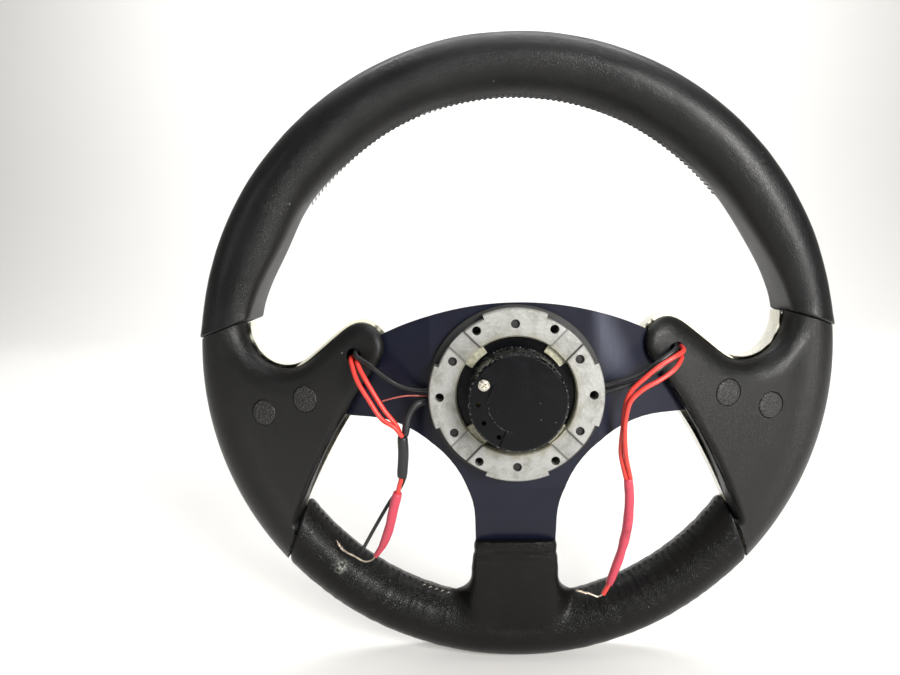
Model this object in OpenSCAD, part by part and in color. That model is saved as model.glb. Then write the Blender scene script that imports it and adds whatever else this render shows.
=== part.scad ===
// Three-spoke car steering wheel with a leather rim, moulded grips and a bolt-on hub.
// Millimetres. The origin is the middle of the hub ring's rear face.
// +Y points to the driver, +Z up, and the column side faces -Y.

/* [Rim] */
// Outside radius of the rim
rim_r = 175; // [170:1:185]
// Depth of the rim's middle plane in front of the hub ring's rear face
rim_depth = 55; // [52:1:60]
// Height of the rim's centre above the hub's centre
rim_rise = 10; // [7:1:12]
// Radius of the tube under the upper leather
tube_r = 17; // [16:0.25:18]
// How much slimmer the tube is under the lower leather
lower_slim = 0.75; // [0.25:0.25:1.25]
// How far the thumb rests flatten the inner side of the tube at the upper seams
thumb_flat = 5.5; // [3:0.5:7]
// Thickness of the leather
leather_t = 1.4; // [1:0.1:2]
// Radius of the steel rod bent into the rim's ring
core_r = 6; // [5:0.5:7]
// Gap at each seam between the leather and a grip
seam_gap = 0.4; // [0.2:0.1:0.8]

/* [Grips] */
// Radius of the tube that the grip shells form at the rim
grip_tube_r = 16.4; // [15.5:0.1:16.8]
// Wall of the grip shells
shell_wall = 2.4; // [2:0.1:2.8]
// Angle of the upper seam where it meets the rim's outside
upper_seam = 5; // [3:0.5:8]
// Angle of the lower seam where it meets the rim's outside
lower_seam = -41.4; // [-44:0.2:-39]
// Angle of the lower seam's inner end
corner_seam = -34.8; // [-36:0.2:-33]
// Radius of the thumb notch
notch_r = 20; // [18:0.5:21]
// Distance of the notch's centre inside the middle line of the tube
notch_in = 35; // [33:0.5:37]
// Height of the notch's centre above the rim's centre
notch_up = 20.3; // [18:0.5:23]
// Radius of the lobe beside the spoke
lobe_r = 12.9; // [11.5:0.1:14]
// Distance of the lobe's centre from the wheel's middle line
lobe_x = 78.3; // [76:0.5:81]
// Height of the lobe's centre above the hub's centre
lobe_z = 22.6; // [20:0.5:25]
// Height of the lobe's back above the spoke
lobe_back = 6; // [5:0.5:8]
// Depth of the lobe in front of the spoke
lobe_front = 24; // [20:0.5:27]
// How far the lower edge bows into the grip
edge_bow = 4; // [2:0.5:6]
// Width of the rounding beside the notch
notch_round = 13; // [10:0.5:15]
// Width of the rounding along the other edges
edge_round = 4.5; // [3.5:0.5:6]
// Gap between the rear and the front shell
parting_gap = 0.3; // [0.2:0.1:0.6]
// Radius of the wire outlet in the lobe
outlet_r = 4; // [3.5:0.1:4.5]
// Radius of the plugs over the shell screws
plug_r = 6.2; // [5.5:0.1:6.8]

/* [Spokes] */
// Thickness of the spoke plate
plate_t = 3; // [2.5:0.1:3.5]
// Radius of the arc along the plate's top edge
plate_arc_r = 155; // [150:1:165]
// Height of the plate's top edge above the hub's centre
plate_top = 44.4; // [43.8:0.2:46]
// Depth of the arms' lower edge under the hub's centre
arm_low = 14.6; // [13:0.2:16]
// Radius of the corners between the arms and the leg
plate_fillet = 54; // [48:1:58]
// Half width of the leg
leg_w = 21.3; // [20:0.1:23]
// Distance of the arms' bends from the middle line
arm_bend = 42; // [40.5:0.5:44]
// Distance of the leg's bend below the hub's centre
leg_bend = 50; // [46:1:54]
// Radius of the middle opening of the plate
plate_bore_r = 27.8; // [27.5:0.1:28.3]

/* [Hub ring] */
// Thickness of the hub ring
hub_t = 8.5; // [7.5:0.25:10]
// Outside radius of the hub ring
hub_r = 42.3; // [41.8:0.1:43]
// Outside radius between the four raised sectors
hub_step_r = 40.3; // [40:0.1:41]
// Half angle of each raised sector
hub_sector = 21.5; // [18:0.5:24]
// Radius of the hub ring's bore
hub_bore_r = 28.9; // [28.6:0.1:29.4]
// Bolt circle of the free column holes
column_pcd = 74; // [73.5:0.1:74.5]
// Bolt circle of the holes that take the hub screws
screw_pcd = 70; // [69.5:0.1:70.5]
// Radius of the tapped holes
tap_r = 2.15; // [2:0.05:2.3]
// Width of the four radial channels
channel_w = 10.4; // [9:0.2:12]
// Depth of the channels
channel_d = 1.2; // [0.8:0.1:1.6]
// Inner reach of the four lugs
lug_r = 25; // [24.4:0.1:25.4]
// Thickness of the spacer ring
spacer_t = 4; // [3.6:0.1:5]
// How far the spacer ring stands out past the hub ring
spacer_lip = 1.3; // [0.9:0.1:2.2]

/* [Horn] */
// Radius of the horn cup's body
cup_r = 23; // [22:0.1:23.6]
// How far the cup stands out behind the hub ring
cup_out = 16; // [12:0.5:18]
// Wall of the cup
cup_wall = 2; // [1.6:0.1:2.4]
// Radius of the horn push
push_r = 25.6; // [24.5:0.1:25.8]
// Height of the horn push's dome
push_dome = 6; // [4:0.5:9]
// Travel of the horn push
push_travel = 2.5; // [1.5:0.1:3]
// Outside radius of the trim ring
bezel_r = 30.2; // [29.8:0.1:30.4]

/* [Thumb buttons] */
// Radius of the thumb buttons
button_r = 6; // [5:0.1:6.6]
// How far a button stands out
button_out = 2.6; // [2.2:0.1:4]
// Travel of a button
button_travel = 1.5; // [1:0.1:1.8]

/* [Hidden] */

$fn = 96;
cut = 1;
slip = 0.3;
fit = 0.08;
far = 400;

ring_r = rim_r - tube_r;
rim_c = [0, rim_rise];
lower_tube_r = tube_r - lower_slim;
crest_r = rim_r - grip_tube_r;

spacer_r = hub_r + spacer_lip;
plate_back = hub_t + spacer_t;
plate_front = plate_back + plate_t;
plate_mid = plate_back + plate_t / 2;
arm_slope = (rim_depth - plate_mid) / (ring_r - arm_bend);
leg_slope = (rim_depth - plate_mid) / (ring_r - rim_rise - leg_bend);
arm_thick = plate_t * norm([1, arm_slope]);

lobe_tip = lobe_x - lobe_r;
lobe_plate = plate_back + arm_slope * (lobe_tip - arm_bend);
tip_r = norm([lobe_tip, lobe_z] - rim_c);
rear_slope = (rim_depth - grip_tube_r - lobe_plate + lobe_back) / (crest_r - tip_r);
front_slope = (rim_depth + grip_tube_r - lobe_plate - lobe_front) / (crest_r - tip_r);
rear_tilt = atan(rear_slope);
front_tilt = atan(front_slope);
// Angle between the arms and a line square to the grips' backs
lean = atan(arm_slope) - rear_tilt;

// Where the shell screws stand, as x and z on the right side
screw_spots = [[110.8, -4], [131.2, -11]];
screw_r = 1.9;
head_r = 3.7;
// Where the thumb button and the wire outlet stand on the right side
button_spot = [lobe_x + 2.2, lobe_z - 1.6];
outlet_spot = [lobe_x + 3.2, lobe_z - 4.1];

function polar(r, a) = [r * cos(a), r * sin(a)];
function lerp(a, b, f) = a + (b - a) * f;
function ramp(x) = let (c = max(0, min(1, x))) c * c * (3 - 2 * c);
function unit(v) = v / norm(v);
function rim_dist(p) = norm(p - rim_c);
function arm_y(x) = plate_back + arm_slope * max(0, x - arm_bend);

// Extrudes a shape drawn in x and z from depth a to depth b
module between(a, b) {
    translate([0, b, 0])
        rotate([90, 0, 0])
            linear_extrude(b - a)
                children();
}

// Turns a profile of radius and depth about the hub's axis
module turned(angle = 360, start = 0) {
    rotate([90, 0, 0])
        rotate_extrude(angle = angle, start = start)
            mirror([0, 1])
                children();
}

// Bends a tube section round the rim
module rim_bent(angle = 360, start = 0) {
    translate([0, rim_depth, rim_rise])
        rotate([90, 0, 0])
            rotate_extrude(angle = angle, start = start, $fn = 180)
                children();
}

module both_sides() {
    children();
    mirror([1, 0, 0])
        children();
}

// Points of the grip outline, each [point, share of the rim arc, share of spoke under it, roundness]

notch_c = [ring_r - notch_in, rim_rise + notch_up];
lobe_c = [lobe_x, lobe_z];
corner = rim_c + polar(rim_r - 2 * tube_r + 4.5, corner_seam);
tip = rim_c + polar(rim_r, lower_seam);
notch_open = 13;
to_lobe = lobe_c - notch_c;
notch_close = atan2(to_lobe[1], to_lobe[0]) + acos((notch_r + lobe_r) / norm(to_lobe));
lobe_open = notch_close + 180;
to_corner = corner - lobe_c;
bow_turn = atan(4 * edge_bow / norm(to_corner));
lobe_close = 360 + atan2(to_corner[1], to_corner[0]) - acos(lobe_r / norm(to_corner)) + bow_turn;
notch_top = notch_c + polar(notch_r, notch_open);
edge_start = lobe_c + polar(lobe_r, lobe_close);
edge_out = unit([corner[1] - edge_start[1], edge_start[0] - corner[0]]);

n_notch = 10;
n_flank = 3;
n_lobe = 9;
n_edge = 9;
n_seam = 4;
fan_notch = 0.36;
fan_flank = 0.48;
fan_lobe = 0.60;
fan_edge = 0.80;
spoke_on = 0.45;
spoke_off = 0.36;

grip_edge = concat(
    [for (i = [0:n_notch - 1]) let (f = i / n_notch)
        [notch_c + polar(notch_r, lerp(notch_open, notch_close, f)), lerp(0, fan_notch, f), 0, 0]],
    [for (i = [0:n_flank - 1]) let (f = i / n_flank)
        [lerp(notch_c + polar(notch_r, notch_close), lobe_c + polar(lobe_r, lobe_open), f),
            lerp(fan_notch, fan_flank, f), 0, 0]],
    [for (i = [0:n_lobe - 1]) let (f = i / n_lobe)
        [lobe_c + polar(lobe_r, lerp(lobe_open, lobe_close, f)), lerp(fan_flank, fan_lobe, f),
            ramp((f - spoke_on) * 8), 0]],
    [for (i = [0:n_edge - 1]) let (f = i / n_edge)
        [lerp(edge_start, corner, f) - edge_bow * 4 * f * (1 - f) * edge_out,
            lerp(fan_lobe, fan_edge, f), 1 - ramp((f - spoke_off) * 8), ramp(3 * f - 2)]],
    [for (i = [0:n_seam]) let (f = i / n_seam)
        [lerp(corner, tip, 0.9 * f), lerp(fan_edge, 0.995, f), 0, 1]]);
n_rows = len(grip_edge);

function edge_at(i) = grip_edge[max(0, min(n_rows - 1, i))][0];
function fan_at(i) = rim_c + polar(rim_r, lerp(upper_seam, lower_seam, grip_edge[i][1]));

// Height of the parting line in open stretches of the edge
function part_y(p) = min(rim_depth,
    plate_back - slip + arm_slope * (rim_dist(p) - arm_bend));
// Depth of the rear shell's edge, lifted off the spoke where it crosses
function rear_edge_y(p, spoke) = lerp(part_y(p), arm_y(p[0]) - slip, spoke);
function front_edge_y(p, spoke) = lerp(part_y(p) + parting_gap,
    arm_y(p[0]) + arm_thick + slip, spoke);
// Half thickness of the tube at a distance from the rim's centre
function tube_h(r, wall) = sqrt(max(0, pow(grip_tube_r - wall, 2) - pow(r - crest_r, 2)));
// Depth of the panel between the lobe and the rim, for a side of -1 at the back or 1 in front
function panel_y(r, wall, side) = r > crest_r
    ? rim_depth + side * tube_h(r, wall)
    : rim_depth + side * (grip_tube_r - wall) - (side < 0 ? rear_slope : front_slope) * (crest_r - r);
function round_off(x) = let (c = max(0, min(1, x))) sqrt(1 - (1 - c) * (1 - c));

// Where a ray from p along d crosses the circle of radius r about the rim's centre
function reach(p, d, r) = let (q = p - rim_c, b = q * d) -b + sqrt(max(0, b * b - q * q + r * r));

// One row of points from the inner edge across the grip to the rim's outside
function grip_row(i, wall, side) = let (
    p = grip_edge[i][0],
    spoke = grip_edge[i][2],
    tubular = grip_edge[i][3],
    d = unit(fan_at(i) - p),
    along = unit(edge_at(i + 1) - edge_at(i - 1)),
    slant = lerp(max(0.25, abs(d[0] * along[1] - d[1] * along[0])), 1, tubular),
    to_crest = max(0, reach(p, d, crest_r)),
    to_end = reach(p, d, rim_r - wall),
    width = lerp(edge_round, side < 0 ? notch_round : edge_round,
        1 - ramp((norm(p - notch_c) - notch_r - 4) / 20)),
    inset = (1 - tubular) * wall,
    start = min(inset / slant, 0.8 * to_crest),
    bend = min(max(start + 0.1, width / slant), max(start + 0.05, 0.9 * to_crest)),
    crest = max(to_crest, bend + 0.05 * (to_end - bend)),
    runs = concat(
        [for (k = [0:3]) lerp(start, bend, 1 - cos(90 * k / 3))],
        [for (k = [1:2]) lerp(bend, crest, k / 2)],
        [for (k = [1:4]) lerp(crest, to_end, sin(90 * k / 4))])
) [for (run = runs) let (
    q = p + d * run,
    r = rim_dist(q),
    edge = side < 0 ? rear_edge_y(q, spoke) : front_edge_y(q, spoke),
    full = panel_y(r, wall, side),
    shaped = lerp(edge, full, round_off((run * slant - inset) / max(0.5, width - inset))),
    piped = lerp(rim_depth, rim_depth + side * (grip_tube_r - wall),
        tube_h(r, wall) / (grip_tube_r - wall)),
    y = r >= crest_r ? full : lerp(shaped, piped, tubular)
) [q[0], y, q[1]]];

function grid_faces(rows, cols, base, flip) = [
    for (i = [0:rows - 2]) for (k = [0:cols - 2]) let (
        a = base + i * cols + k,
        b = a + cols
    ) each flip
        ? [[a, a + 1, b + 1], [a, b + 1, b]]
        : [[a, b + 1, a + 1], [a, b, b + 1]]];

// A wall between two grids of points with the same rows and columns
module skin(outer, inner, flip) {
    rows = len(outer);
    cols = len(outer[0]);
    n = rows * cols;
    points = concat([for (row = outer) each row], [for (row = inner) each row]);
    rim = concat(
        [for (k = [0:cols - 1]) k],
        [for (i = [1:rows - 1]) i * cols + cols - 1],
        [for (k = [cols - 2:-1:0]) (rows - 1) * cols + k],
        [for (i = [rows - 2:-1:1]) i * cols]);
    sides = [for (j = [0:len(rim) - 1]) let (
        a = rim[j],
        b = rim[(j + 1) % len(rim)]
    ) each flip
        ? [[a, a + n, b + n], [a, b + n, b]]
        : [[a, b + n, a + n], [a, b, b + n]]];
    polyhedron(points = points,
        faces = concat(grid_faces(rows, cols, 0, flip), grid_faces(rows, cols, n, !flip), sides));
}

module grip_skin(side) {
    rows = [0:n_rows - 1];
    skin([for (i = rows) grip_row(i, 0, side)], [for (i = rows) grip_row(i, shell_wall, side)],
        side < 0);
}

// Puts a piece on the back of the right grip, square to its surface
module on_back(spot) {
    translate([spot[0], panel_y(rim_dist(spot), 0, -1), spot[1]])
        rotate([0, 0, rear_tilt])
            children();
}

module on_front(spot) {
    translate([spot[0], panel_y(rim_dist(spot), 0, 1), spot[1]])
        rotate([0, 0, front_tilt])
            children();
}

collar_t = 1.4;
collar_at = -shell_wall - 0.6;
switch_face = collar_at - collar_t - button_travel - slip;
switch_back = 11;
well_depth = 8;
well_r = button_r + 1.4;
well_wall = 1.4;

plug_t = 1.6;
boss_r = plug_r + 1.4;
seat_depth = plug_t + 3;
post_r = 4.2;

// Lengths along a shell screw, from the grip's back to the spoke and to the grip's front
function back_to_plate(spot) = (arm_y(spot[0]) - panel_y(rim_dist(spot), 0, -1))
    / (cos(rear_tilt) + arm_slope * sin(rear_tilt));
function back_to_front(spot) = (panel_y(rim_dist(spot), 0, 1) - panel_y(rim_dist(spot), 0, -1))
    / (cos(rear_tilt) + front_slope * sin(rear_tilt));

// Half the angle's rise over a post of radius r, with a little air
function seat_gap(r) = r * tan(lean) + slip / 2;

module rear_shell() {
    difference() {
        union() {
            grip_skin(-1);
            for (spot = screw_spots)
                on_back(spot)
                    between(shell_wall / 2, back_to_plate(spot) - seat_gap(boss_r))
                        circle(boss_r);
        }
        for (spot = screw_spots)
            on_back(spot) {
                between(-cut, plug_t)
                    circle(plug_r);
                between(-cut, seat_depth)
                    circle(head_r + slip);
                between(-cut, far / 10)
                    circle(screw_r + slip);
            }
        translate([outlet_spot[0], 0, outlet_spot[1]])
            between(0, lobe_plate + arm_thick)
                circle(outlet_r);
    }
}

module front_shell() {
    difference() {
        union() {
            grip_skin(1);
            for (spot = screw_spots)
                on_back(spot)
                    between(back_to_plate(spot) + plate_t / cos(lean) + seat_gap(post_r),
                        back_to_front(spot) - shell_wall / 2)
                        circle(post_r);
            on_front(button_spot)
                between(switch_face - well_depth, -shell_wall / 2)
                    circle(well_r + well_wall);
        }
        for (spot = screw_spots)
            on_back(spot)
                between(0, back_to_front(spot) - 2 * shell_wall)
                    circle(screw_r + slip / 10);
        on_front(button_spot) {
            between(-shell_wall - cut, 2 * cut)
                circle(button_r + fit);
            between(switch_face - well_depth - cut, -shell_wall)
                circle(well_r);
        }
    }
}

module right_rear_shell() {
    color("#262626")
        rear_shell();
}

module left_rear_shell() {
    color("#262626")
        mirror([1, 0, 0])
            rear_shell();
}

module right_front_shell() {
    color("#efece0")
        front_shell();
}

module left_front_shell() {
    color("#efece0")
        mirror([1, 0, 0])
            front_shell();
}

module shell_plugs() {
    color("#2b2b2b")
        both_sides()
            for (spot = screw_spots)
                on_back(spot)
                    between(0.2, plug_t)
                        circle(plug_r - 0.1);
}

module shell_screws() {
    color("#8f8f8a")
        both_sides()
            for (spot = screw_spots)
                on_back(spot)
                    difference() {
                        union() {
                            between(seat_depth - 2.4, seat_depth - slip / 10)
                                circle(head_r);
                            between(seat_depth - 1, back_to_front(spot) - 2 * shell_wall - 1)
                                circle(screw_r);
                        }
                        for (turn = [0, 90])
                            rotate([0, turn, 0])
                                translate([-2, seat_depth - 2.4 - cut, -0.4])
                                    cube([4, 1.2 + cut, 0.8]);
                    }
}

// Plate

fillet_x = leg_w + plate_fillet;
fillet_z = -arm_low - plate_fillet;
arm_end = ring_r - core_r + 2;
leg_end = -(ring_r - rim_rise - core_r) - 2;
arm_top = 2;
arm_foot = -24;
// The step down in the plate's top edge, which the lobe covers
step_cover = 4;
shoulder_x = lobe_tip + 5;
step_top = lobe_z - lobe_r + step_cover;
step_foot = [lobe_x + 2, arm_top + 2.4];
shoulder_z = plate_top - plate_arc_r + sqrt(plate_arc_r * plate_arc_r - shoulder_x * shoulder_x);
n_arc = 24;
n_fillet = 16;

// Right half of the plate's outline, from the top of the arc round to the foot of the leg
half_outline = concat(
    [for (i = [0:n_arc - 1]) let (x = shoulder_x * i / n_arc)
        [x, plate_top - plate_arc_r + sqrt(plate_arc_r * plate_arc_r - x * x)]],
    [[shoulder_x, shoulder_z], [shoulder_x, step_top], step_foot, [lobe_x + lobe_r, arm_top],
        [arm_end, arm_top], [arm_end, arm_foot], [lobe_x + 2 * lobe_r + 4, arm_foot],
        [lobe_x + lobe_r - 1, -arm_low]],
    [for (i = [0:n_fillet]) [fillet_x, fillet_z] + polar(plate_fillet, 90 + 90 * i / n_fillet)],
    [[leg_w, leg_end]]);

module plate_outline() {
    n = len(half_outline);
    polygon(concat(half_outline, [for (i = [n - 1:-1:1]) [-half_outline[i][0], half_outline[i][1]]]));
}

// The folded sheet before its outline is cut
module folded_arms() {
    run = arm_end + 6 - arm_bend;
    translate([0, 0, -leg_bend])
        linear_extrude(leg_bend + plate_top + 4)
            polygon([
                [-arm_bend - run, plate_back + arm_slope * run],
                [-arm_bend, plate_back],
                [arm_bend, plate_back],
                [arm_bend + run, plate_back + arm_slope * run],
                [arm_bend + run, plate_back + arm_slope * run + arm_thick],
                [arm_bend, plate_front],
                [-arm_bend, plate_front],
                [-arm_bend - run, plate_back + arm_slope * run + arm_thick]]);
}

module folded_leg(half, grow = 0) {
    run = -leg_end - leg_bend;
    thick = plate_t * norm([1, leg_slope]);
    translate([-half, 0, 0])
        rotate([90, 0, 90])
            linear_extrude(2 * half)
                polygon([
                    [plate_back - grow, -leg_bend],
                    [plate_back - grow + leg_slope * run, -leg_bend - run],
                    [plate_back + grow + leg_slope * run + thick, -leg_bend - run],
                    [plate_front + grow, -leg_bend]]);
}

module spoke_plate() {
    color("#1a1f36")
        difference() {
            intersection() {
                union() {
                    folded_arms();
                    folded_leg(2 * leg_w);
                }
                between(0, far)
                    plate_outline();
            }
            between(0, far)
                circle(plate_bore_r);
            hub_holes(column_pcd, 0, tap_r + 0.25, 0, plate_front + cut);
            hub_holes(screw_pcd, 30, tap_r + 0.25, 0, plate_front + cut);
            both_sides()
                for (spot = screw_spots)
                    on_back(spot)
                        between(0, far / 10)
                            circle(screw_r + 2 * slip);
            rim_bent()
                translate([ring_r, 0])
                    circle(core_r + fit);
        }
}

// Hub

module hub_holes(pcd, first, r, from, to) {
    between(from, to)
        for (i = [0:5])
            rotate(first + 60 * i)
                translate([pcd / 2, 0])
                    circle(r, $fn = 48);
}

module hub_ring() {
    chamfer = 0.6;
    color("#b9b9b3")
        difference() {
            union() {
                turned()
                    polygon([[hub_bore_r + chamfer, 0], [hub_step_r - chamfer, 0],
                        [hub_step_r, chamfer], [hub_step_r, hub_t], [hub_bore_r, hub_t],
                        [hub_bore_r, chamfer]]);
                for (i = [0:3])
                    turned(2 * hub_sector, 90 * i - hub_sector)
                        polygon([[hub_step_r - 4, 0], [hub_r - chamfer, 0], [hub_r, chamfer],
                            [hub_r, hub_t], [hub_step_r - 4, hub_t]]);
                for (i = [0:3])
                    turned(2 * lug_half, 45 + 90 * i - lug_half)
                        polygon([[lug_r, lug_from], [hub_bore_r + 1, lug_from],
                            [hub_bore_r + 1, flange_at], [lug_r, flange_at]]);
            }
            hub_holes(column_pcd, 0, tap_r, -cut, hub_t + cut);
            hub_holes(screw_pcd, 30, tap_r, -cut, hub_t + cut);
            between(-cut, channel_d)
                for (i = [0:3])
                    rotate(45 + 90 * i)
                        translate([hub_bore_r - cut, -channel_w / 2])
                            square([hub_r - hub_bore_r + 3 * cut, channel_w]);
        }
}

lug_half = 12;
lug_from = 3.2;
flange_at = 5.6;
wire_slot_w = 9;
wire_slot_d = spacer_t - 0.8;

module hub_spacer() {
    color("#1d1d1d")
        difference() {
            turned()
                polygon([[hub_bore_r, hub_t], [spacer_r, hub_t], [spacer_r, plate_back],
                    [hub_bore_r, plate_back]]);
            hub_holes(column_pcd, 0, tap_r + 0.25, 0, plate_back + cut);
            hub_holes(screw_pcd, 30, tap_r + 0.25, 0, plate_back + cut);
            for (s = [-1, 1])
                translate([s * (spacer_r + hub_bore_r) / 2, 0, wire_slot_z])
                    between(hub_t - cut, hub_t + wire_slot_d)
                        square([spacer_r - hub_bore_r + 4, wire_slot_w], center = true);
        }
}

wire_slot_z = -0.5;

module hub_screws() {
    shank_r = tap_r - 0.05;
    color("#4a4a4c")
        for (i = [0:5])
            rotate([0, -(30 + 60 * i), 0])
                translate([screw_pcd / 2, 0, 0])
                    difference() {
                        union() {
                            between(1.5, plate_front + 1)
                                circle(shank_r, $fn = 48);
                            turned()
                                polygon([[0, plate_front], [4.4, plate_front],
                                    [4.4, plate_front + 1], [3.2, plate_front + 2.6],
                                    [0, plate_front + 2.6]]);
                        }
                        between(plate_front + 0.8, plate_front + 3)
                            circle(1.75, $fn = 6);
                    }
}

// Rim

module rim_core() {
    color("#5a5a5c")
        rim_bent()
            translate([ring_r, 0])
                circle(core_r);
}

thumb_shift = 2 * thumb_flat;
thumb_tilt = -30;
thumb_end = 46;
thumb_r = rim_r - 2 * tube_r + thumb_flat - thumb_shift * cos(thumb_tilt - 10);

// Hollows of the thumb rests, which fade out about 45 degrees up the rim
module thumb_rests() {
    both_sides()
        translate([rim_c[0] + polar(thumb_shift, thumb_tilt)[0], 0,
            rim_c[1] + polar(thumb_shift, thumb_tilt)[1]])
            between(0, far)
                circle(thumb_r, $fn = 240);
}

// A full tube over the top, and a slimmer one at the thumb rests, inside a skin of some thickness
module upper_filling(skin_t) {
    wrapped_r = tube_r - skin_t;
    rim_bent(180 - 2 * thumb_end, thumb_end)
        translate([ring_r, 0])
            circle(wrapped_r);
    for (start = [0, 180 - thumb_end])
        rim_bent(thumb_end, start)
            translate([ring_r + thumb_flat / 2, 0])
                circle(wrapped_r - thumb_flat / 2);
}

// Area above the upper seams, seen from behind
module upper_area(gap) {
    out = rim_c + polar(rim_r, upper_seam);
    in = notch_top;
    reach = (out - in) * 2;
    a = out + reach + [0, gap];
    b = in - reach / 2 + [0, gap];
    polygon([a, b, [-b[0], b[1]], [-a[0], a[1]], [-a[0], far], [a[0], far]]);
}

// Area under the lower seams
module lower_area(gap) {
    along = unit(tip - corner);
    off = [along[1], -along[0]] * gap;
    a = corner + off - along * 60;
    b = tip + off + along * 60;
    polygon([a, b, [b[0], -far], [-b[0], -far], [-b[0], b[1]], [-a[0], a[1]]]);
}

module leather_upper() {
    color("#2b2a29")
        intersection() {
            difference() {
                rim_bent(180, 0)
                    translate([ring_r, 0])
                        circle(tube_r);
                upper_filling(leather_t);
                thumb_rests();
            }
            between(0, far)
                upper_area(seam_gap);
        }
}

module padding_upper() {
    color("#3c3a36")
        intersection() {
            difference() {
                upper_filling(leather_t + fit);
                rim_bent()
                    translate([ring_r, 0])
                        circle(core_r + fit);
            }
            between(0, far)
                upper_area(seam_gap + 1);
        }
}

module lower_tube(wall) {
    rim_bent(180, 180)
        translate([rim_r - lower_tube_r, 0])
            circle(lower_tube_r - wall);
}

boot_top = 83.5;
boot_half_t = 5.5;
boot_taper = 0.11;
boot_flare = 18;
boot_bottom = ring_r - rim_rise - 1;
boot_sink = 1.5;
flare_from = rim_r - 2 * lower_tube_r - rim_rise - boot_flare - 4;

boot_side = 16;
// Share of the way from the leg's side to the spread ends of the boot
function boot_spread(x) = ramp((abs(x) - leg_w) / boot_side);
function boot_w(z) = leg_w + 0.8 + boot_taper * (z - boot_top)
    + boot_flare - sqrt(max(0, pow(boot_flare, 2) - pow(max(0, min(boot_flare, z - flare_from)), 2)));
function boot_t(z) = lerp(boot_half_t, lower_tube_r - boot_sink,
    pow((z - boot_top) / (ring_r - rim_rise - boot_top), 2.2));
function square_off(v) = sign(v) * sqrt(abs(v));

n_boot = 9;
n_ring = 24;
boot_levels = [for (i = [0:n_boot]) lerp(boot_top, boot_bottom, pow(i / n_boot, 0.75))];

// The sleeve that wraps the leg and spreads into the rim
module boot() {
    points = [for (z = boot_levels) let (
        mid = plate_mid + leg_slope * (z - leg_bend)
    ) for (k = [0:n_ring - 1]) let (
        a = 360 * k / n_ring,
        x = boot_w(z) * square_off(cos(a)),
        spread = boot_spread(x)
    ) [x, lerp(mid, rim_depth, spread) + lerp(1, 0.3, spread) * boot_t(z) * square_off(sin(a)), -z]];
    sides = [for (i = [0:n_boot - 1]) for (k = [0:n_ring - 1]) let (
        a = i * n_ring + k,
        b = i * n_ring + (k + 1) % n_ring
    ) each [[a, b, b + n_ring], [a, b + n_ring, a + n_ring]]];
    polyhedron(points = points, faces = concat(
        [[for (k = [n_ring - 1:-1:0]) k]],
        [[for (k = [0:n_ring - 1]) n_boot * n_ring + k]],
        sides));
}

module leather_lower() {
    color("#2b2a29")
        difference() {
            intersection() {
                lower_tube(0);
                between(0, far)
                    lower_area(seam_gap);
            }
            lower_tube(leather_t);
            folded_leg(leg_w + slip / 2, slip / 2);
        }
}

n_saddle = 15;
saddle_half = 30;
saddle_sides = 40;
saddle_line = [for (i = [0:n_saddle]) let (
    p = rim_c + polar(rim_r - lower_tube_r, -90 + lerp(-saddle_half, saddle_half, i / n_saddle))
) [p[0], rim_depth, p[1]]];

module leather_boot() {
    color("#2b2a29")
        difference() {
            boot();
            tube(saddle_line, (lower_tube_r + slip / 2) / cos(180 / saddle_sides), saddle_sides);
            folded_leg(leg_w + slip / 2, slip / 2);
        }
}

module padding_lower() {
    color("#3c3a36")
        difference() {
            intersection() {
                lower_tube(leather_t + fit);
                between(0, far)
                    lower_area(seam_gap + 1);
            }
            rim_bent()
                translate([ring_r, 0])
                    circle(core_r + fit);
            folded_leg(leg_w + slip / 2, slip / 2);
        }
}

// Horn

flange_t = 2.4;
recess_d = 1.2;
cup_back = -cup_out;
cup_front = flange_at + flange_t;
recess_mid = cup_r - 4.6;

// The sunken arc on the back of the cup that holds the screw and the wire holes
module cup_recess() {
    intersection() {
        difference() {
            circle(cup_r - 0.6);
            circle(13.8);
        }
        polygon([[0, 0], polar(60, 142), polar(60, 185), polar(60, 246)]);
    }
}

module horn_cup() {
    bevel = 1.2;
    color("#17171a")
        difference() {
            turned()
                polygon([[0, cup_back], [cup_r - bevel, cup_back], [cup_r, cup_back + bevel],
                    [cup_r, flange_at], [hub_bore_r - slip, flange_at],
                    [hub_bore_r - slip, cup_front], [cup_r - cup_wall, cup_front],
                    [cup_r - cup_wall, cup_back + 2 * cup_wall], [0, cup_back + 2 * cup_wall]]);
            between(cup_back - cut, cup_back + recess_d)
                cup_recess();
            for (a = [182, 210, 240])
                rotate([0, -a, 0])
                    translate([recess_mid, 0, 0])
                        between(cup_back - cut, 0)
                            circle(1.1, $fn = 32);
            rotate([0, -151, 0])
                translate([recess_mid - 0.6, 0, 0])
                    between(cup_back - cut, 0)
                        circle(1.5, $fn = 32);
        }
}

module cup_screw() {
    head = 2.7;
    color("#c9c4b4")
        rotate([0, -151, 0])
            translate([recess_mid - 0.6, 0, 0])
                difference() {
                    union() {
                        turned()
                            polygon([[0, cup_back - 0.5], [1.6, cup_back - 0.4],
                                [head, cup_back + 0.4], [head, cup_back + recess_d],
                                [0, cup_back + recess_d]]);
                        between(cup_back + recess_d - 0.5, cup_back + 8)
                            circle(1.4, $fn = 32);
                    }
                    for (turn = [0, 90])
                        rotate([0, turn + 20, 0])
                            translate([-1.5, cup_back - cut, -0.3])
                                cube([3, 1.2 + cut, 0.6]);
                }
}

contact_t = 1;
push_flange_y = plate_back + 0.6;
push_flange_t = 2;
push_top = plate_front + 12;
push_wall = 2.4;
hub_push_r = plate_bore_r - fit;
// Height of the push's inner roof in the middle and at its wall
roof_mid = push_top - 3;
roof_edge = push_top - push_dome - 1;
spring_from = cup_front + contact_t;

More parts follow.
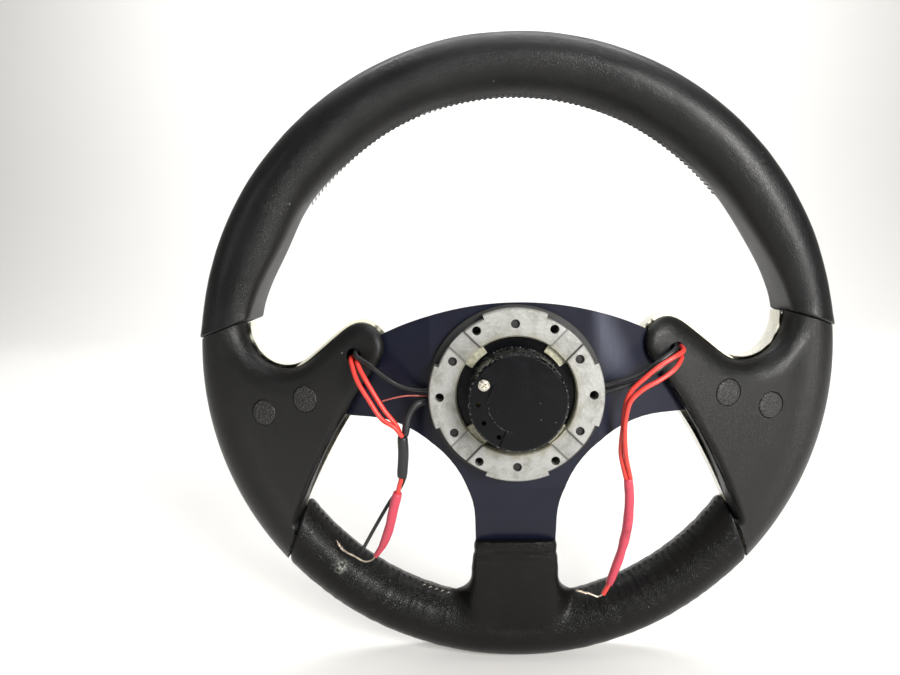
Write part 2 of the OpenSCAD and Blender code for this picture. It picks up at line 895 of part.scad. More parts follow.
// Brass disc on the cup's flange with a tab for each lead
module horn_contact() {
    color("#b08d4a")
        difference() {
            between(cup_front, spring_from)
                circle(hub_bore_r - 1);
            between(0, far)
                circle(9);
        }
}

module horn_push() {
    seat = push_flange_y;
    color("#1c1c1e")
        difference() {
            turned()
                polygon(concat(
                    [[0, seat], [hub_push_r, seat], [hub_push_r, seat + push_flange_t],
                        [push_r, seat + push_flange_t], [push_r, push_top - push_dome]],
                    [for (k = [1:8]) let (a = 90 * k / 8)
                        [push_r * cos(a), push_top - push_dome + push_dome * sin(a)]]));
            turned()
                polygon([[0, seat - cut], [push_r - push_wall, seat - cut],
                    [push_r - push_wall, roof_edge], [0, roof_mid]]);
        }
}

module horn_bezel() {
    lip_y = push_flange_y + push_flange_t + fit;
    color("#2a2a2c")
        turned()
            polygon([[push_r + fit, lip_y], [plate_bore_r - fit, lip_y],
                [plate_bore_r - fit, plate_front], [bezel_r, plate_front],
                [bezel_r, plate_front + 2], [bezel_r - 1.4, plate_front + 3.4],
                [push_r + fit, plate_front + 3.4]]);
}

spring_r = 12;
spring_wire = 0.9;
spring_turns = 3;
spring_to = lerp(roof_mid, roof_edge, (spring_r + spring_wire) / (push_r - push_wall)) - fit;
spring_steps = 16;

function spring_path() = [for (i = [0:spring_turns * spring_steps]) let (
    a = 360 * i / spring_steps,
    y = lerp(spring_from + spring_wire, spring_to - spring_wire, i / (spring_turns * spring_steps))
) [spring_r * cos(a), y, spring_r * sin(a)]];

module horn_spring() {
    color("#9a9a98")
        tube(spring_path(), spring_wire, 6);
}

// Thumb buttons

module button() {
    on_front(button_spot)
        turned()
            polygon([[0, collar_at - collar_t], [well_r - fit, collar_at - collar_t],
                [well_r - fit, collar_at], [button_r, collar_at],
                [button_r, button_out - 1], [button_r - 1, button_out], [0, button_out + 0.3]]);
}

module switch() {
    back = switch_face - switch_back;
    on_front(button_spot) {
        between(back, switch_face)
            circle(well_r - fit / 2);
        for (s = [-2.5, 2.5])
            translate([s, 0, 0])
                between(back - 3, back + cut)
                    square([0.8, 2.4], center = true);
    }
}

module right_button() {
    color("#c8352b")
        button();
}

module left_button() {
    color("#c8352b")
        mirror([1, 0, 0])
            button();
}

module right_switch() {
    color("#222222")
        switch();
}

module left_switch() {
    color("#222222")
        mirror([1, 0, 0])
            switch();
}

// Wires

wire_r = 1;
lead_r = 1.3;
sleeve_r = 2.1;
taped_r = 1.1;

left_red_a_route = [[-80, 25, 18], [-79.4, 17.6, 17.4], [-79.2, 12.6, 16],
    [-76.4, 8, 10.5], [-71, 6.5, 0.5], [-64.6, 6, -8.5], [-59.6, 6.6, -14.6], [-57.5, 7.5, -20.6]];
left_red_b_route = [[-83.2, 25, 17.4], [-82.8, 17.6, 17.2], [-82.2, 12.6, 15.2], [-79, 7.5, 7],
    [-73, 5.5, -2.5], [-66.4, 4.6, -11], [-59.8, 4.4, -15.6], [-56.4, 5.7, -20.6]];
left_feed_route = [[-44, 10.5, -1.2], [-49, 8.6, -0.6], [-54.2, 7.6, -0.4], [-60, 6.8, -1.2],
    [-65.8, 6.4, -2.6]];
left_taped_route = [[-44.2, 10.4, -3.6], [-49.6, 8.6, -5.4], [-53.4, 7.8, -11.4],
    [-55.2, 7.6, -20.6]];
left_sleeve_route = [[-56.4, 7, -21], [-56.6, 9, -31], [-58, 12, -43]];
left_red_tail_route = [[-57, 12.2, -43.5], [-58.2, 13.4, -48], [-59.8, 14.8, -52.6]];
left_pink_route = [[-60, 15, -53], [-62.5, 18.6, -63], [-65.5, 23.5, -75], [-70, 29.5, -87],
    [-75.5, 34, -96]];
left_copper_route = [[-75.8, 34.2, -96.4], [-80, 36.2, -99.6], [-84.5, 37.5, -100.8],
    [-90, 39, -98.6], [-95, 40, -96.6], [-98.4, 40.8, -93.6], [-100, 41, -89.6]];
left_black_tail_route = [[-59.2, 12.2, -43.5], [-62, 15.4, -50.5], [-67.2, 19, -60],
    [-76, 26, -77], [-84, 34, -92]];
left_lead_route = [[-80.8, 25, 21.4], [-80.2, 17.8, 20.7], [-79, 13.4, 19], [-72, 10.4, 14.6],
    [-64, 9.8, 8.6], [-57, 9.8, 4.2], [-50, 10, 2], [-43, 10.2, 1.6], [-28.4, 10.2, 1.6]];

right_red_a_route = [[84, 25, 20.4], [83.4, 17.6, 19.9], [82.4, 12.6, 18.6], [76.6, 8, 16.4],
    [69.5, 6.5, 12.5], [62, 6, 6.5], [56, 6.2, 0.5], [53.4, 7, -7], [52.6, 8.4, -18],
    [52.2, 11.2, -32], [55.4, 14, -45.6]];
right_red_b_route = [[82.8, 25, 16.8], [82.4, 17.6, 16.3], [81.6, 12.6, 15], [76.6, 7.4, 10.4],
    [69.5, 5.2, 6], [61.5, 4.4, 1.8], [55.4, 4.4, -4], [53.2, 4.8, -12], [53, 6.4, -22],
    [54.6, 9.8, -34], [57.6, 13.6, -45.6]];
right_pink_route = [[56.6, 14, -46], [58.2, 18, -59], [58.4, 23.5, -76], [56.6, 29, -92],
    [54, 32.6, -104], [51.6, 35, -113]];
right_tip_route = [[51.5, 35.1, -113.4], [48.6, 36.4, -120]];
right_copper_route = [[48.4, 36.5, -120.4], [45.4, 36.8, -121.6], [41.6, 37, -120.2],
    [37.6, 37.4, -119.4], [33.8, 37.6, -118]];
right_lead_a_route = [[81.4, 25, 21.6], [80.6, 17.8, 20.8], [79, 13.4, 19.4], [71.5, 10.4, 14.8],
    [61, 9.8, 8.2], [51, 9.8, 4.8], [43, 10.2, 2.6], [28.4, 10.2, 2.6]];
right_lead_b_route = [[79.6, 25, 18], [79.2, 17.4, 17.6], [77.2, 13, 15.2], [69.6, 9.9, 10],
    [60.8, 9.8, 4.4], [51, 9.8, 1.6], [43, 10.2, -0.4], [28.4, 10.2, -0.4]];

function tangent(p, i) = unit(p[min(i + 1, len(p) - 1)] - p[max(i - 1, 0)]);
function carried(p, i, n) = i == len(p) ? [] : let (
    t = tangent(p, i),
    m = unit(n - (n * t) * t)
) concat([m], carried(p, i + 1, m));

// A round tube swept along a list of points
module tube(p, r, sides = 8) {
    t0 = tangent(p, 0);
    across = cross(t0, abs(t0[2]) < 0.9 ? [0, 0, 1] : [1, 0, 0]);
    normals = carried(p, 0, across);
    points = [for (i = [0:len(p) - 1]) let (
        n = normals[i],
        b = cross(tangent(p, i), n)
    ) for (k = [0:sides - 1]) p[i] + r * (cos(360 * k / sides) * n + sin(360 * k / sides) * b)];
    last = (len(p) - 1) * sides;
    walls = [for (i = [0:len(p) - 2]) for (k = [0:sides - 1]) let (
        a = i * sides + k,
        b = i * sides + (k + 1) % sides
    ) each [[a, a + sides, b + sides], [a, b + sides, b]]];
    polyhedron(points = points, faces = concat(
        [[for (k = [0:sides - 1]) k]],
        [[for (k = [sides - 1:-1:0]) last + k]],
        walls));
}

module left_black_lead() {
    color("#141414")
        tube(left_lead_route, lead_r);
}

module right_black_leads() {
    color("#141414") {
        tube(right_lead_a_route, lead_r);
        tube(right_lead_b_route, lead_r);
    }
}

module left_red_wire_a() {
    color("#e0382c")
        tube(left_red_a_route, wire_r);
}

module left_red_wire_b() {
    color("#e0382c")
        tube(left_red_b_route, wire_r);
}

module left_feed_wire() {
    color("#a8322c")
        tube(left_feed_route, wire_r / 2, 6);
}

module left_taped_wires() {
    color("#151515")
        tube(left_taped_route, taped_r);
}

module left_black_sleeve() {
    color("#1b1d1f")
        tube(left_sleeve_route, sleeve_r);
}

module left_red_tail() {
    color("#e8502c")
        tube(left_red_tail_route, wire_r);
}

module left_pink_sleeve() {
    color("#d43a52")
        tube(left_pink_route, sleeve_r - 0.5);
}

module left_copper_end() {
    color("#c98a5a")
        tube(left_copper_route, wire_r / 2, 6);
}

module left_black_tail() {
    color("#151515")
        tube(left_black_tail_route, wire_r);
}

module right_red_wire_a() {
    color("#e0382c")
        tube(right_red_a_route, wire_r);
}

module right_red_wire_b() {
    color("#e0382c")
        tube(right_red_b_route, wire_r);
}

module right_pink_sleeve() {
    color("#d43a52")
        tube(right_pink_route, sleeve_r);
}

module right_red_tip() {
    color("#e0382c")
        tube(right_tip_route, wire_r);
}

module right_copper_end() {
    color("#c98a5a")
        tube(right_copper_route, wire_r / 2, 6);
}

hub_ring();
hub_spacer();
spoke_plate();
hub_screws();
rim_core();
padding_upper();
padding_lower();
leather_upper();
leather_lower();
leather_boot();
left_rear_shell();
right_rear_shell();
left_front_shell();
right_front_shell();
shell_screws();
shell_plugs();
horn_cup();
cup_screw();
horn_contact();
horn_spring();
horn_push();
horn_bezel();
left_button();
right_button();
left_switch();
right_switch();
left_black_lead();
right_black_leads();
left_red_wire_a();
left_red_wire_b();
left_feed_wire();
left_taped_wires();
left_black_sleeve();
left_red_tail();
left_pink_sleeve();
left_copper_end();
left_black_tail();
right_red_wire_a();
right_red_wire_b();
right_pink_sleeve();
right_red_tip();
right_copper_end();
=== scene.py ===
import logging
import math
from dataclasses import dataclass, field
from enum import Enum, IntEnum
from typing import Callable, Optional, Sequence, Union

import bpy
import numpy as np
from mathutils import Matrix


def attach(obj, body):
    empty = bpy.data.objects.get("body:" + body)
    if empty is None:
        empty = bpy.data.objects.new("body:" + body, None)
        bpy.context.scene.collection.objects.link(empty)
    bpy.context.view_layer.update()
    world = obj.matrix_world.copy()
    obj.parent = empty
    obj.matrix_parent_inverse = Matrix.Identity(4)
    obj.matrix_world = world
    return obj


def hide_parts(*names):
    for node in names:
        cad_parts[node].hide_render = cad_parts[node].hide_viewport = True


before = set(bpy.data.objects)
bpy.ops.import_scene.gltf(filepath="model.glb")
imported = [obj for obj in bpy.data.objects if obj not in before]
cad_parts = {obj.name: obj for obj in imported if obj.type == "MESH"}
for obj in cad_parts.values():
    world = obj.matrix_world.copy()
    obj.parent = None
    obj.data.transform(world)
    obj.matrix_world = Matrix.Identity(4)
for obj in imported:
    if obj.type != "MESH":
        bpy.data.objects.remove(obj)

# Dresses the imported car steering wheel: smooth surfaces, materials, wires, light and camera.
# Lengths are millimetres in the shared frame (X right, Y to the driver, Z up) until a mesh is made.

LOG = logging.getLogger("steering_wheel")
Array = np.ndarray
Number = Union[float, Array]
Colour = tuple[float, float, float]
Operand = Union["Value", float]

MM = 0.001


class Body(str, Enum):
    """CAD body that this scene's own pieces ride on."""

    WHEEL = "wheel"


class Side(IntEnum):
    """The two shells of a grip, as the sign of the way along Y that each one faces."""

    REAR = -1
    FRONT = 1


class FarEnd(str, Enum):
    """What a wire has on its far end."""

    BARE = "bare"
    SPLICE = "object"


# ---------------------------------------------------------------- shapes shared with the CAD model


@dataclass(frozen=True)
class Wheel:
    """Driving sizes of the wheel, the CAD model's but for a wider notch, in mm and degrees."""

    rim_r: float = 175.0
    rim_depth: float = 55.0
    rim_rise: float = 10.0
    tube_r: float = 17.0
    lower_slim: float = 0.75
    thumb_flat: float = 5.5
    grip_tube_r: float = 16.4
    shell_wall: float = 2.4
    upper_seam: float = 5.0
    lower_seam: float = -41.4
    corner_seam: float = -34.8
    corner_in: float = 4.5
    notch_r: float = 23.3
    notch_in: float = 34.4
    notch_up: float = 22.4
    notch_from: float = 6.0
    lobe_r: float = 12.9
    lobe_x: float = 78.3
    lobe_z: float = 22.6
    lobe_back: float = 6.0
    lobe_front: float = 24.0
    notch_round: float = 13.0
    edge_round: float = 4.5
    parting_gap: float = 0.3
    outlet_r: float = 4.0
    plug_r: float = 7.0
    plug_joint: float = 0.25
    plate_t: float = 3.0
    arm_bend: float = 42.0
    leg_bend: float = 50.0
    leg_w: float = 21.3
    hub_t: float = 8.5
    spacer_t: float = 4.0
    spacer_r: float = 43.6
    spacer_bore_r: float = 28.2
    seam_gap: float = 0.4
    slip: float = 0.3

    @property
    def ring_r(self) -> float:
        """Radius of the line in the middle of the rim's tube."""
        return self.rim_r - self.tube_r

    @property
    def centre(self) -> Array:
        """Centre of the rim in X and Z."""
        return np.array([0.0, self.rim_rise])

    @property
    def crest_r(self) -> float:
        """Radius at which a grip is thickest."""
        return self.rim_r - self.grip_tube_r

    @property
    def lower_tube_r(self) -> float:
        """Radius of the lower leather's tube."""
        return self.tube_r - self.lower_slim

    @property
    def plate_back(self) -> float:
        """Depth at which the plate begins."""
        return self.hub_t + self.spacer_t

    @property
    def plate_mid(self) -> float:
        """Depth of the plate's middle."""
        return self.plate_back + self.plate_t / 2

    @property
    def arm_slope(self) -> float:
        """Depth that a side arm gains for each millimetre outwards."""
        return (self.rim_depth - self.plate_mid) / (self.ring_r - self.arm_bend)

    @property
    def leg_slope(self) -> float:
        """Depth that the lower spoke gains for each millimetre outwards."""
        return (self.rim_depth - self.plate_mid) / (self.ring_r - self.rim_rise - self.leg_bend)

    @property
    def arm_thick(self) -> float:
        """Thickness of a sloping arm along Y."""
        return self.plate_t * math.hypot(1, self.arm_slope)

    @property
    def lobe(self) -> Array:
        """Centre of the grip's lobe in X and Z."""
        return np.array([self.lobe_x, self.lobe_z])

    @property
    def notch(self) -> Array:
        """Centre of the thumb notch in X and Z."""
        return np.array([self.ring_r - self.notch_in, self.rim_rise + self.notch_up])

    @property
    def lobe_tip(self) -> float:
        """Distance of the lobe's tip from the middle plane."""
        return self.lobe_x - self.lobe_r

    @property
    def lobe_plate(self) -> float:
        """Depth of the plate under the lobe's tip."""
        return self.plate_back + self.arm_slope * (self.lobe_tip - self.arm_bend)

    @property
    def tip_r(self) -> float:
        """Distance of the lobe's tip from the rim's centre."""
        return float(np.hypot(self.lobe_tip, self.lobe_z - self.rim_rise))

    @property
    def rear_slope(self) -> float:
        """Slant of the rear shell's panel."""
        return (self.rim_depth - self.grip_tube_r - self.lobe_plate + self.lobe_back) / (
            self.crest_r - self.tip_r)

    @property
    def front_slope(self) -> float:
        """Slant of the front shell's panel."""
        return (self.rim_depth + self.grip_tube_r - self.lobe_plate - self.lobe_front) / (
            self.crest_r - self.tip_r)

    @property
    def outlet(self) -> Array:
        """Centre of the wires' outlet in X and Z."""
        return np.array([self.lobe_x + 3.2, self.lobe_z - 4.1])

    @property
    def button(self) -> Array:
        """Centre of the thumb button in X and Z."""
        return np.array([self.lobe_x + 2.2, self.lobe_z - 1.6])

    @property
    def plugs(self) -> Array:
        """Centres of the grip's two plugs in X and Z."""
        return np.array([[110.2, -5.2], [134.8, -13.6]])

    @property
    def lower_corner(self) -> Array:
        """Inner end of the seam between a grip and the lower leather, from the rim's centre."""
        return polar(self.rim_r - 2 * self.tube_r + self.corner_in, self.corner_seam)

    def on_rim(self, r: Number, angle: Array, depth: Number) -> Array:
        """Points on the rim.

        Args:
            r: Distance from the rim's axis.
            angle: Ring angle in radians.
            depth: Distance along Y from the rim's middle.

        Returns:
            Array whose last axis holds the three coordinates.
        """
        x, z = r * np.cos(angle), self.rim_rise + r * np.sin(angle)
        return np.stack(np.broadcast_arrays(x, self.rim_depth + depth, z), axis=-1)


WHEEL = Wheel()


def polar(r: Number, degrees: Number) -> Array:
    """Points at radius r and angle, stacked on the last axis."""
    a = np.radians(degrees)
    return np.stack([r * np.cos(a), r * np.sin(a)], axis=-1)


def ramp(x: Number) -> Number:
    """Smooth step from 0 to 1."""
    c = np.clip(x, 0.0, 1.0)
    return c * c * (3 - 2 * c)


def lerp(a: Number, b: Number, f: Number) -> Number:
    """Straight mix of a and b."""
    return a + (b - a) * f


def unit(v: Array) -> Array:
    """Unit vectors along the last axis."""
    return v / np.maximum(np.linalg.norm(v, axis=-1, keepdims=True), 1e-12)


def smooth_max(a: Array, b: Array, soft: float) -> Array:
    """The larger of a and b with a rounded corner of about the given size."""
    h = np.clip(0.5 + 0.5 * (a - b) / soft, 0.0, 1.0)
    return lerp(b, a, h) + soft * h * (1 - h)


def crossing(a: Array, b: Array, r: Array) -> Array:
    """Ring angle in radians at which the line from a through b leaves each circle of radius r.

    Args:
        a: First point, from the rim's centre.
        b: Second point.
        r: Radii.

    Returns:
        One angle for each radius.
    """
    run = b - a
    across = a @ run
    root = np.sqrt(np.maximum(across * across - run @ run * (a @ a - r * r), 0))
    p = a + ((root - across) / (run @ run))[..., None] * run
    return np.arctan2(p[..., 1], p[..., 0])


def bell(x: Number, width: float) -> Number:
    """A smooth bump of height 1 round 0."""
    return np.exp(-(x / width) ** 2)


def turn(count: int) -> Array:
    """Angles in radians that go once round."""
    return np.linspace(0, 2 * np.pi, count, endpoint=False)


def sections(along: int, around: int) -> tuple[Array, Array, Array, Array]:
    """Shares along a tube as a column; round it, degrees, cosines and sines as rows."""
    phi = np.linspace(0, 360, around, endpoint=False)[None, :]
    angle = np.radians(phi)
    return np.linspace(0, 1, along)[:, None], phi, np.cos(angle), np.sin(angle)


def turned_in(from_end: Array, reach: float, depth: float) -> Array:
    """How far a hide's edge curls inwards, by the distance from its end."""
    curl = np.clip(1 - from_end / reach, 0, 1)
    return depth * (1 - np.sqrt(1 - curl ** 2))


class Relief:
    """Seeded value noise over arrays of points, for folds and dents in a surface."""

    cells = 64

    def __init__(self, seed: int) -> None:
        """Fills a table with random numbers from the seed."""
        self.table = np.random.default_rng(seed).uniform(-1.0, 1.0, size=(self.cells,) * 3)

    def at(self, points: Array, size: Union[float, Sequence[float]]) -> Array:
        """Noise in -1..1.

        Args:
            points: Points on the last axis of three numbers.
            size: Length of one cell, or one for each axis.

        Returns:
            One value a point.
        """
        q = points / np.asarray(size, dtype=float)
        cell = np.floor(q).astype(int)
        f = q - cell
        f = f * f * (3 - 2 * f)
        total = np.zeros(q.shape[:-1])
        for corner in np.ndindex(2, 2, 2):
            c = np.asarray(corner)
            at = (cell + c) % self.cells
            weight = np.prod(np.where(c == 1, f, 1 - f), axis=-1)
            total += weight * self.table[at[..., 0], at[..., 1], at[..., 2]]
        return total


# ---------------------------------------------------------------- shaders


class Value:
    """A number, vector or colour in a shader, with arithmetic that adds Math nodes."""

    def __init__(self, graph: "Graph", socket: bpy.types.NodeSocket) -> None:
        """Wraps a socket of a graph."""
        self.graph = graph
        self.socket = socket

    def _math(self, operation: str, *items: Operand) -> "Value":
        """A Math node of one operation on the items."""
        node = self.graph.add("ShaderNodeMath", operation=operation)
        for slot, item in zip(node.inputs, items):
            self.graph.feed(slot, item)
        return Value(self.graph, node.outputs[0])

    def __add__(self, other: Operand) -> "Value":
        """Sum."""
        return self._math("ADD", self, other)

    def __radd__(self, other: float) -> "Value":
        """Sum with a number on the left."""
        return self._math("ADD", other, self)

    def __sub__(self, other: Operand) -> "Value":
        """Difference."""
        return self._math("SUBTRACT", self, other)

    def __rsub__(self, other: float) -> "Value":
        """Difference from a number on the left."""
        return self._math("SUBTRACT", other, self)

    def __mul__(self, other: Operand) -> "Value":
        """Product."""
        return self._math("MULTIPLY", self, other)

    def __rmul__(self, other: float) -> "Value":
        """Product with a number on the left."""
        return self._math("MULTIPLY", other, self)

    def __truediv__(self, other: Operand) -> "Value":
        """Quotient."""
        return self._math("DIVIDE", self, other)

    def __rtruediv__(self, other: float) -> "Value":
        """Quotient with a number on the left."""
        return self._math("DIVIDE", other, self)

    def __pow__(self, other: float) -> "Value":
        """Power."""
        return self._math("POWER", self, other)

    def larger(self, other: Operand) -> "Value":
        """The larger of the two."""
        return self._math("MAXIMUM", self, other)

    def absolute(self) -> "Value":
        """Size without sign."""
        return self._math("ABSOLUTE", self)

    def step(self, low: float, high: float) -> "Value":
        """Smooth step from 0 at low to 1 at high, or back where low is the larger.

        Args:
            low: Value at one end.
            high: Value at the other end.

        Returns:
            The step, 0 to 1.
        """
        node = self.graph.add("ShaderNodeMapRange", interpolation_type="SMOOTHSTEP")
        self.graph.feed(node.inputs["Value"], self)
        ends = (high, low, 1.0, 0.0) if low > high else (low, high, 0.0, 1.0)
        for name, end in zip(("From Min", "From Max", "To Min", "To Max"), ends):
            node.inputs[name].default_value = end
        return Value(self.graph, node.outputs[0])


class Graph:
    """Node tree of one material."""

    def __init__(self, name: str) -> None:
        """Starts a tree with a main shader, its output and the object coordinates."""
        self.material = bpy.data.materials.new(name)
        self.material.use_nodes = True
        self.tree = self.material.node_tree
        self.tree.nodes.clear()
        self.shader = self.add("ShaderNodeBsdfPrincipled")
        out = self.add("ShaderNodeOutputMaterial")
        self.tree.links.new(self.shader.outputs[0], out.inputs[0])
        place = self.add("ShaderNodeTexCoord")
        self.place = Value(self, place.outputs["Object"])
        parts = self.add("ShaderNodeSeparateXYZ")
        self.tree.links.new(place.outputs["Object"], parts.inputs[0])
        self.x, self.y, self.z = (Value(self, s) for s in parts.outputs)

    def add(self, kind: str, **settings) -> bpy.types.Node:
        """Adds a node and sets its properties."""
        node = self.tree.nodes.new(kind)
        for key, value in settings.items():
            setattr(node, key, value)
        return node

    def feed(self, slot: bpy.types.NodeSocket, item: Union[Value, float, Sequence[float]]) -> None:
        """Links a value into a socket, or sets the socket's own number."""
        if isinstance(item, Value):
            self.tree.links.new(item.socket, slot)
        else:
            slot.default_value = item

    def set(self, **inputs: Union[float, Sequence[float]]) -> None:
        """Sets constants on the main shader, with spaces in place of underscores."""
        for key, value in inputs.items():
            self.feed(self.shader.inputs[key.replace("_", " ")], value)

    def stretched(self, scale: Sequence[float]) -> Value:
        """Object coordinates with another scale along each axis."""
        node = self.add("ShaderNodeVectorMath", operation="MULTIPLY")
        self.feed(node.inputs[0], self.place)
        node.inputs[1].default_value = scale
        return Value(self, node.outputs[0])

    def noise(self, size_mm: float, detail: float = 3.0, rough: float = 0.55,
              at: Optional[Value] = None, twist: float = 0.0) -> Value:
        """Cloudy noise whose cells are about size_mm across.

        Args:
            size_mm: Width of a cell.
            detail: Number of octaves.
            rough: Weight of the finer octaves.
            at: Coordinates, the object's own where left out.
            twist: Distortion of the pattern.

        Returns:
            Noise of 0 to 1.
        """
        node = self.add("ShaderNodeTexNoise")
        self.feed(node.inputs["Vector"], at or self.place)
        node.inputs["Scale"].default_value = 1.0 / (size_mm * MM)
        node.inputs["Detail"].default_value = detail
        node.inputs["Roughness"].default_value = rough
        node.inputs["Distortion"].default_value = twist
        return Value(self, node.outputs["Fac"])

    def cells(self, size_mm: float, feature: str = "F1",
              at: Optional[Value] = None) -> tuple[Value, Value]:
        """Distances in a cell pattern, and a random number for each cell.

        Args:
            size_mm: Width of a cell.
            feature: Distance that is measured.
            at: Coordinates, the object's own where left out.

        Returns:
            The distance, and the random number.
        """
        node = self.add("ShaderNodeTexVoronoi", feature=feature)
        self.feed(node.inputs["Vector"], at or self.place)
        node.inputs["Scale"].default_value = 1.0 / (size_mm * MM)
        shade = node.outputs["Color"] if feature == "F1" else node.outputs["Distance"]
        tone = self.add("ShaderNodeSeparateXYZ")
        self.tree.links.new(shade, tone.inputs[0])
        return Value(self, node.outputs["Distance"]), Value(self, tone.outputs[0])

    def specks(self, size_mm: float, share: float, radius: float) -> Value:
        """Mask of sparse small dots: share of the cells carry one of that radius in cells."""
        distance, tone = self.cells(size_mm)
        return distance.step(radius, radius * 0.5) * tone.step(1 - share, 1 - share * 0.9)

    def near(self, x: float, z: float, inner: float, outer: float) -> Value:
        """Mask round a spot seen along Y, 1 within inner and 0 beyond outer, in millimetres."""
        dx, dz = self.x - x * MM, self.z - z * MM
        return ((dx * dx + dz * dz).larger(1e-12) ** 0.5).step(outer * MM, inner * MM)

    def radius(self) -> Value:
        """Distance from the hub's axis."""
        return (self.x * self.x + self.z * self.z) ** 0.5

    def mix(self, factor: Value, low: Union[Value, Colour], high: Union[Value, Colour]) -> Value:
        """Colour mix by a factor."""
        node = self.add("ShaderNodeMix", data_type="RGBA", clamp_factor=True)
        self.feed(node.inputs[0], factor)
        for slot, item in ((node.inputs[6], low), (node.inputs[7], high)):
            self.feed(slot, item if isinstance(item, Value) else (*item, 1.0))
        return Value(self, node.outputs[2])

    def bump(self, height: Value, depth_mm: float, soft_edge_mm: float = 0.0) -> None:
        """Feeds a height of 0..1 as relief of that depth, on edges rounded by that radius.

        Args:
            height: Height of 0 to 1.
            depth_mm: Depth of the relief.
            soft_edge_mm: Radius of the rounded edges.
        """
        node = self.add("ShaderNodeBump")
        self.feed(node.inputs["Height"], height)
        node.inputs["Distance"].default_value = depth_mm * MM
        node.inputs["Strength"].default_value = 1.0
        if soft_edge_mm:
            bevel = self.add("ShaderNodeBevel", samples=4)
            bevel.inputs["Radius"].default_value = soft_edge_mm * MM
            self.tree.links.new(bevel.outputs[0], node.inputs["Normal"])
        self.tree.links.new(node.outputs[0], self.shader.inputs["Normal"])

    def colour(self, item: Value) -> None:
        """Feeds the base colour."""
        self.feed(self.shader.inputs["Base Color"], item)

    def roughness(self, item: Value) -> None:
        """Feeds the roughness."""
        self.feed(self.shader.inputs["Roughness"], item)


@dataclass(frozen=True)
class Finish:
    """One finish of the wheel.

    Attributes:
        name: Name of the material.
        slot: The record's material slot that it stands for.
        base: Base colour, linear.
        rough: Roughness.
        fill: Adds the finish's own nodes to a graph.
        metal: Metallic share.
        specular: Specular level.
        coat: Weight of a clear coat.
        grain_mm: Size of the grain.
        depth_mm: Depth of the relief.
        edge_mm: Radius by which edges look rounded.
    """

    name: str
    slot: str
    base: Colour
    rough: float
    fill: Optional[Callable[["Finish", Graph], None]] = None
    metal: float = 0.0
    specular: float = 0.5
    coat: float = 0.0
    grain_mm: float = 1.0
    depth_mm: float = 0.03
    edge_mm: float = 0.3

    def build(self) -> bpy.types.Material:
        """Makes the material, once."""
        known = bpy.data.materials.get(self.name)
        if known:
            return known
        graph = Graph(self.name)
        graph.set(Base_Color=(*self.base, 1.0), Roughness=self.rough, Metallic=self.metal,
                  Specular_IOR_Level=self.specular, Coat_Weight=self.coat, Coat_Roughness=0.12)
        if self.fill:
            self.fill(self, graph)
        graph.material.diffuse_color = (*self.base, 1.0)
        return graph.material


# Each fill function adds the nodes of one finish f to the graph g of its material.


def scaled(colour: Colour, factor: float) -> Colour:
    """A lighter or darker colour."""
    return tuple(min(1.0, c * factor) for c in colour)


def fill_leather(f: Finish, g: Graph) -> None:
    """Grained hide: pores, pebbles, soft creases, handled patches and lint."""
    pores, _ = g.cells(f.grain_mm, "DISTANCE_TO_EDGE")
    fine = g.noise(f.grain_mm * 0.45, 2.0)
    creases = g.noise(f.grain_mm * 5, 4.0, 0.6, twist=0.4)
    patches = g.noise(42, 2.0)
    grain = pores.step(0.0, 0.16) * 0.55 + fine * 0.25 + creases * 0.5
    g.bump(grain, f.depth_mm)
    lint = g.specks(6.5, 0.1, 0.055)
    hide = g.mix(patches.step(0.35, 0.7), scaled(f.base, 0.82), scaled(f.base, 1.2))
    g.colour(g.mix(lint, hide, (0.28, 0.27, 0.25)))
    g.roughness(patches.step(0.3, 0.7) * 0.1 + fine * 0.1 + (f.rough - 0.1))


def fill_lower_leather(f: Finish, g: Graph) -> None:
    """The lower hide: coarser grain, with a bleached scuff on the left."""
    pores, _ = g.cells(f.grain_mm, "DISTANCE_TO_EDGE")
    fine = g.noise(f.grain_mm * 0.4, 2.0)
    creases = g.noise(f.grain_mm * 4, 4.0, 0.6, twist=0.5)
    grain = pores.step(0.0, 0.2) * 0.7 + fine * 0.2 + creases * 0.45
    g.bump(grain, f.depth_mm)
    dust = g.noise(16, 5.0, 0.7).step(0.5, 0.8)
    seen = g.y.step(56 * MM, 50 * MM)
    scuff = g.near(-98.5, -105.5, 0.6, 4.6) * g.noise(1.8, 4.0, 0.7).step(0.42, 0.7) * seen
    lint = g.specks(5.0, 0.16, 0.06)
    hide = g.mix(dust, f.base, scaled(f.base, 1.5))
    hide = g.mix(lint, hide, (0.3, 0.29, 0.26))
    spot = g.near(-96.6, -104.2, 0.5, 1.2)
    hide = g.mix(scuff * (1.0 - spot), hide, (0.3, 0.31, 0.27))
    g.colour(hide)
    g.roughness(fine * 0.1 + dust * 0.1 + (f.rough - 0.06))


def fill_shell(f: Finish, g: Graph) -> None:
    """Moulded skin with a leather wrinkle, darkened wear and dust."""
    wrinkle, _ = g.cells(f.grain_mm, "DISTANCE_TO_EDGE", at=g.stretched((1.0, 1.0, 1.5)))
    fine = g.noise(f.grain_mm * 0.35, 3.0)
    wide = g.noise(28, 3.0)
    g.bump(wrinkle.step(0.0, 0.22) * 0.6 + fine * 0.4, f.depth_mm)
    lint = g.specks(8.0, 0.09, 0.045)
    skin = g.mix(wide.step(0.3, 0.75), scaled(f.base, 0.86), scaled(f.base, 1.16))
    g.colour(g.mix(lint, skin, (0.33, 0.32, 0.3)))
    g.roughness(wide * 0.12 + fine * 0.1 + (f.rough - 0.1))


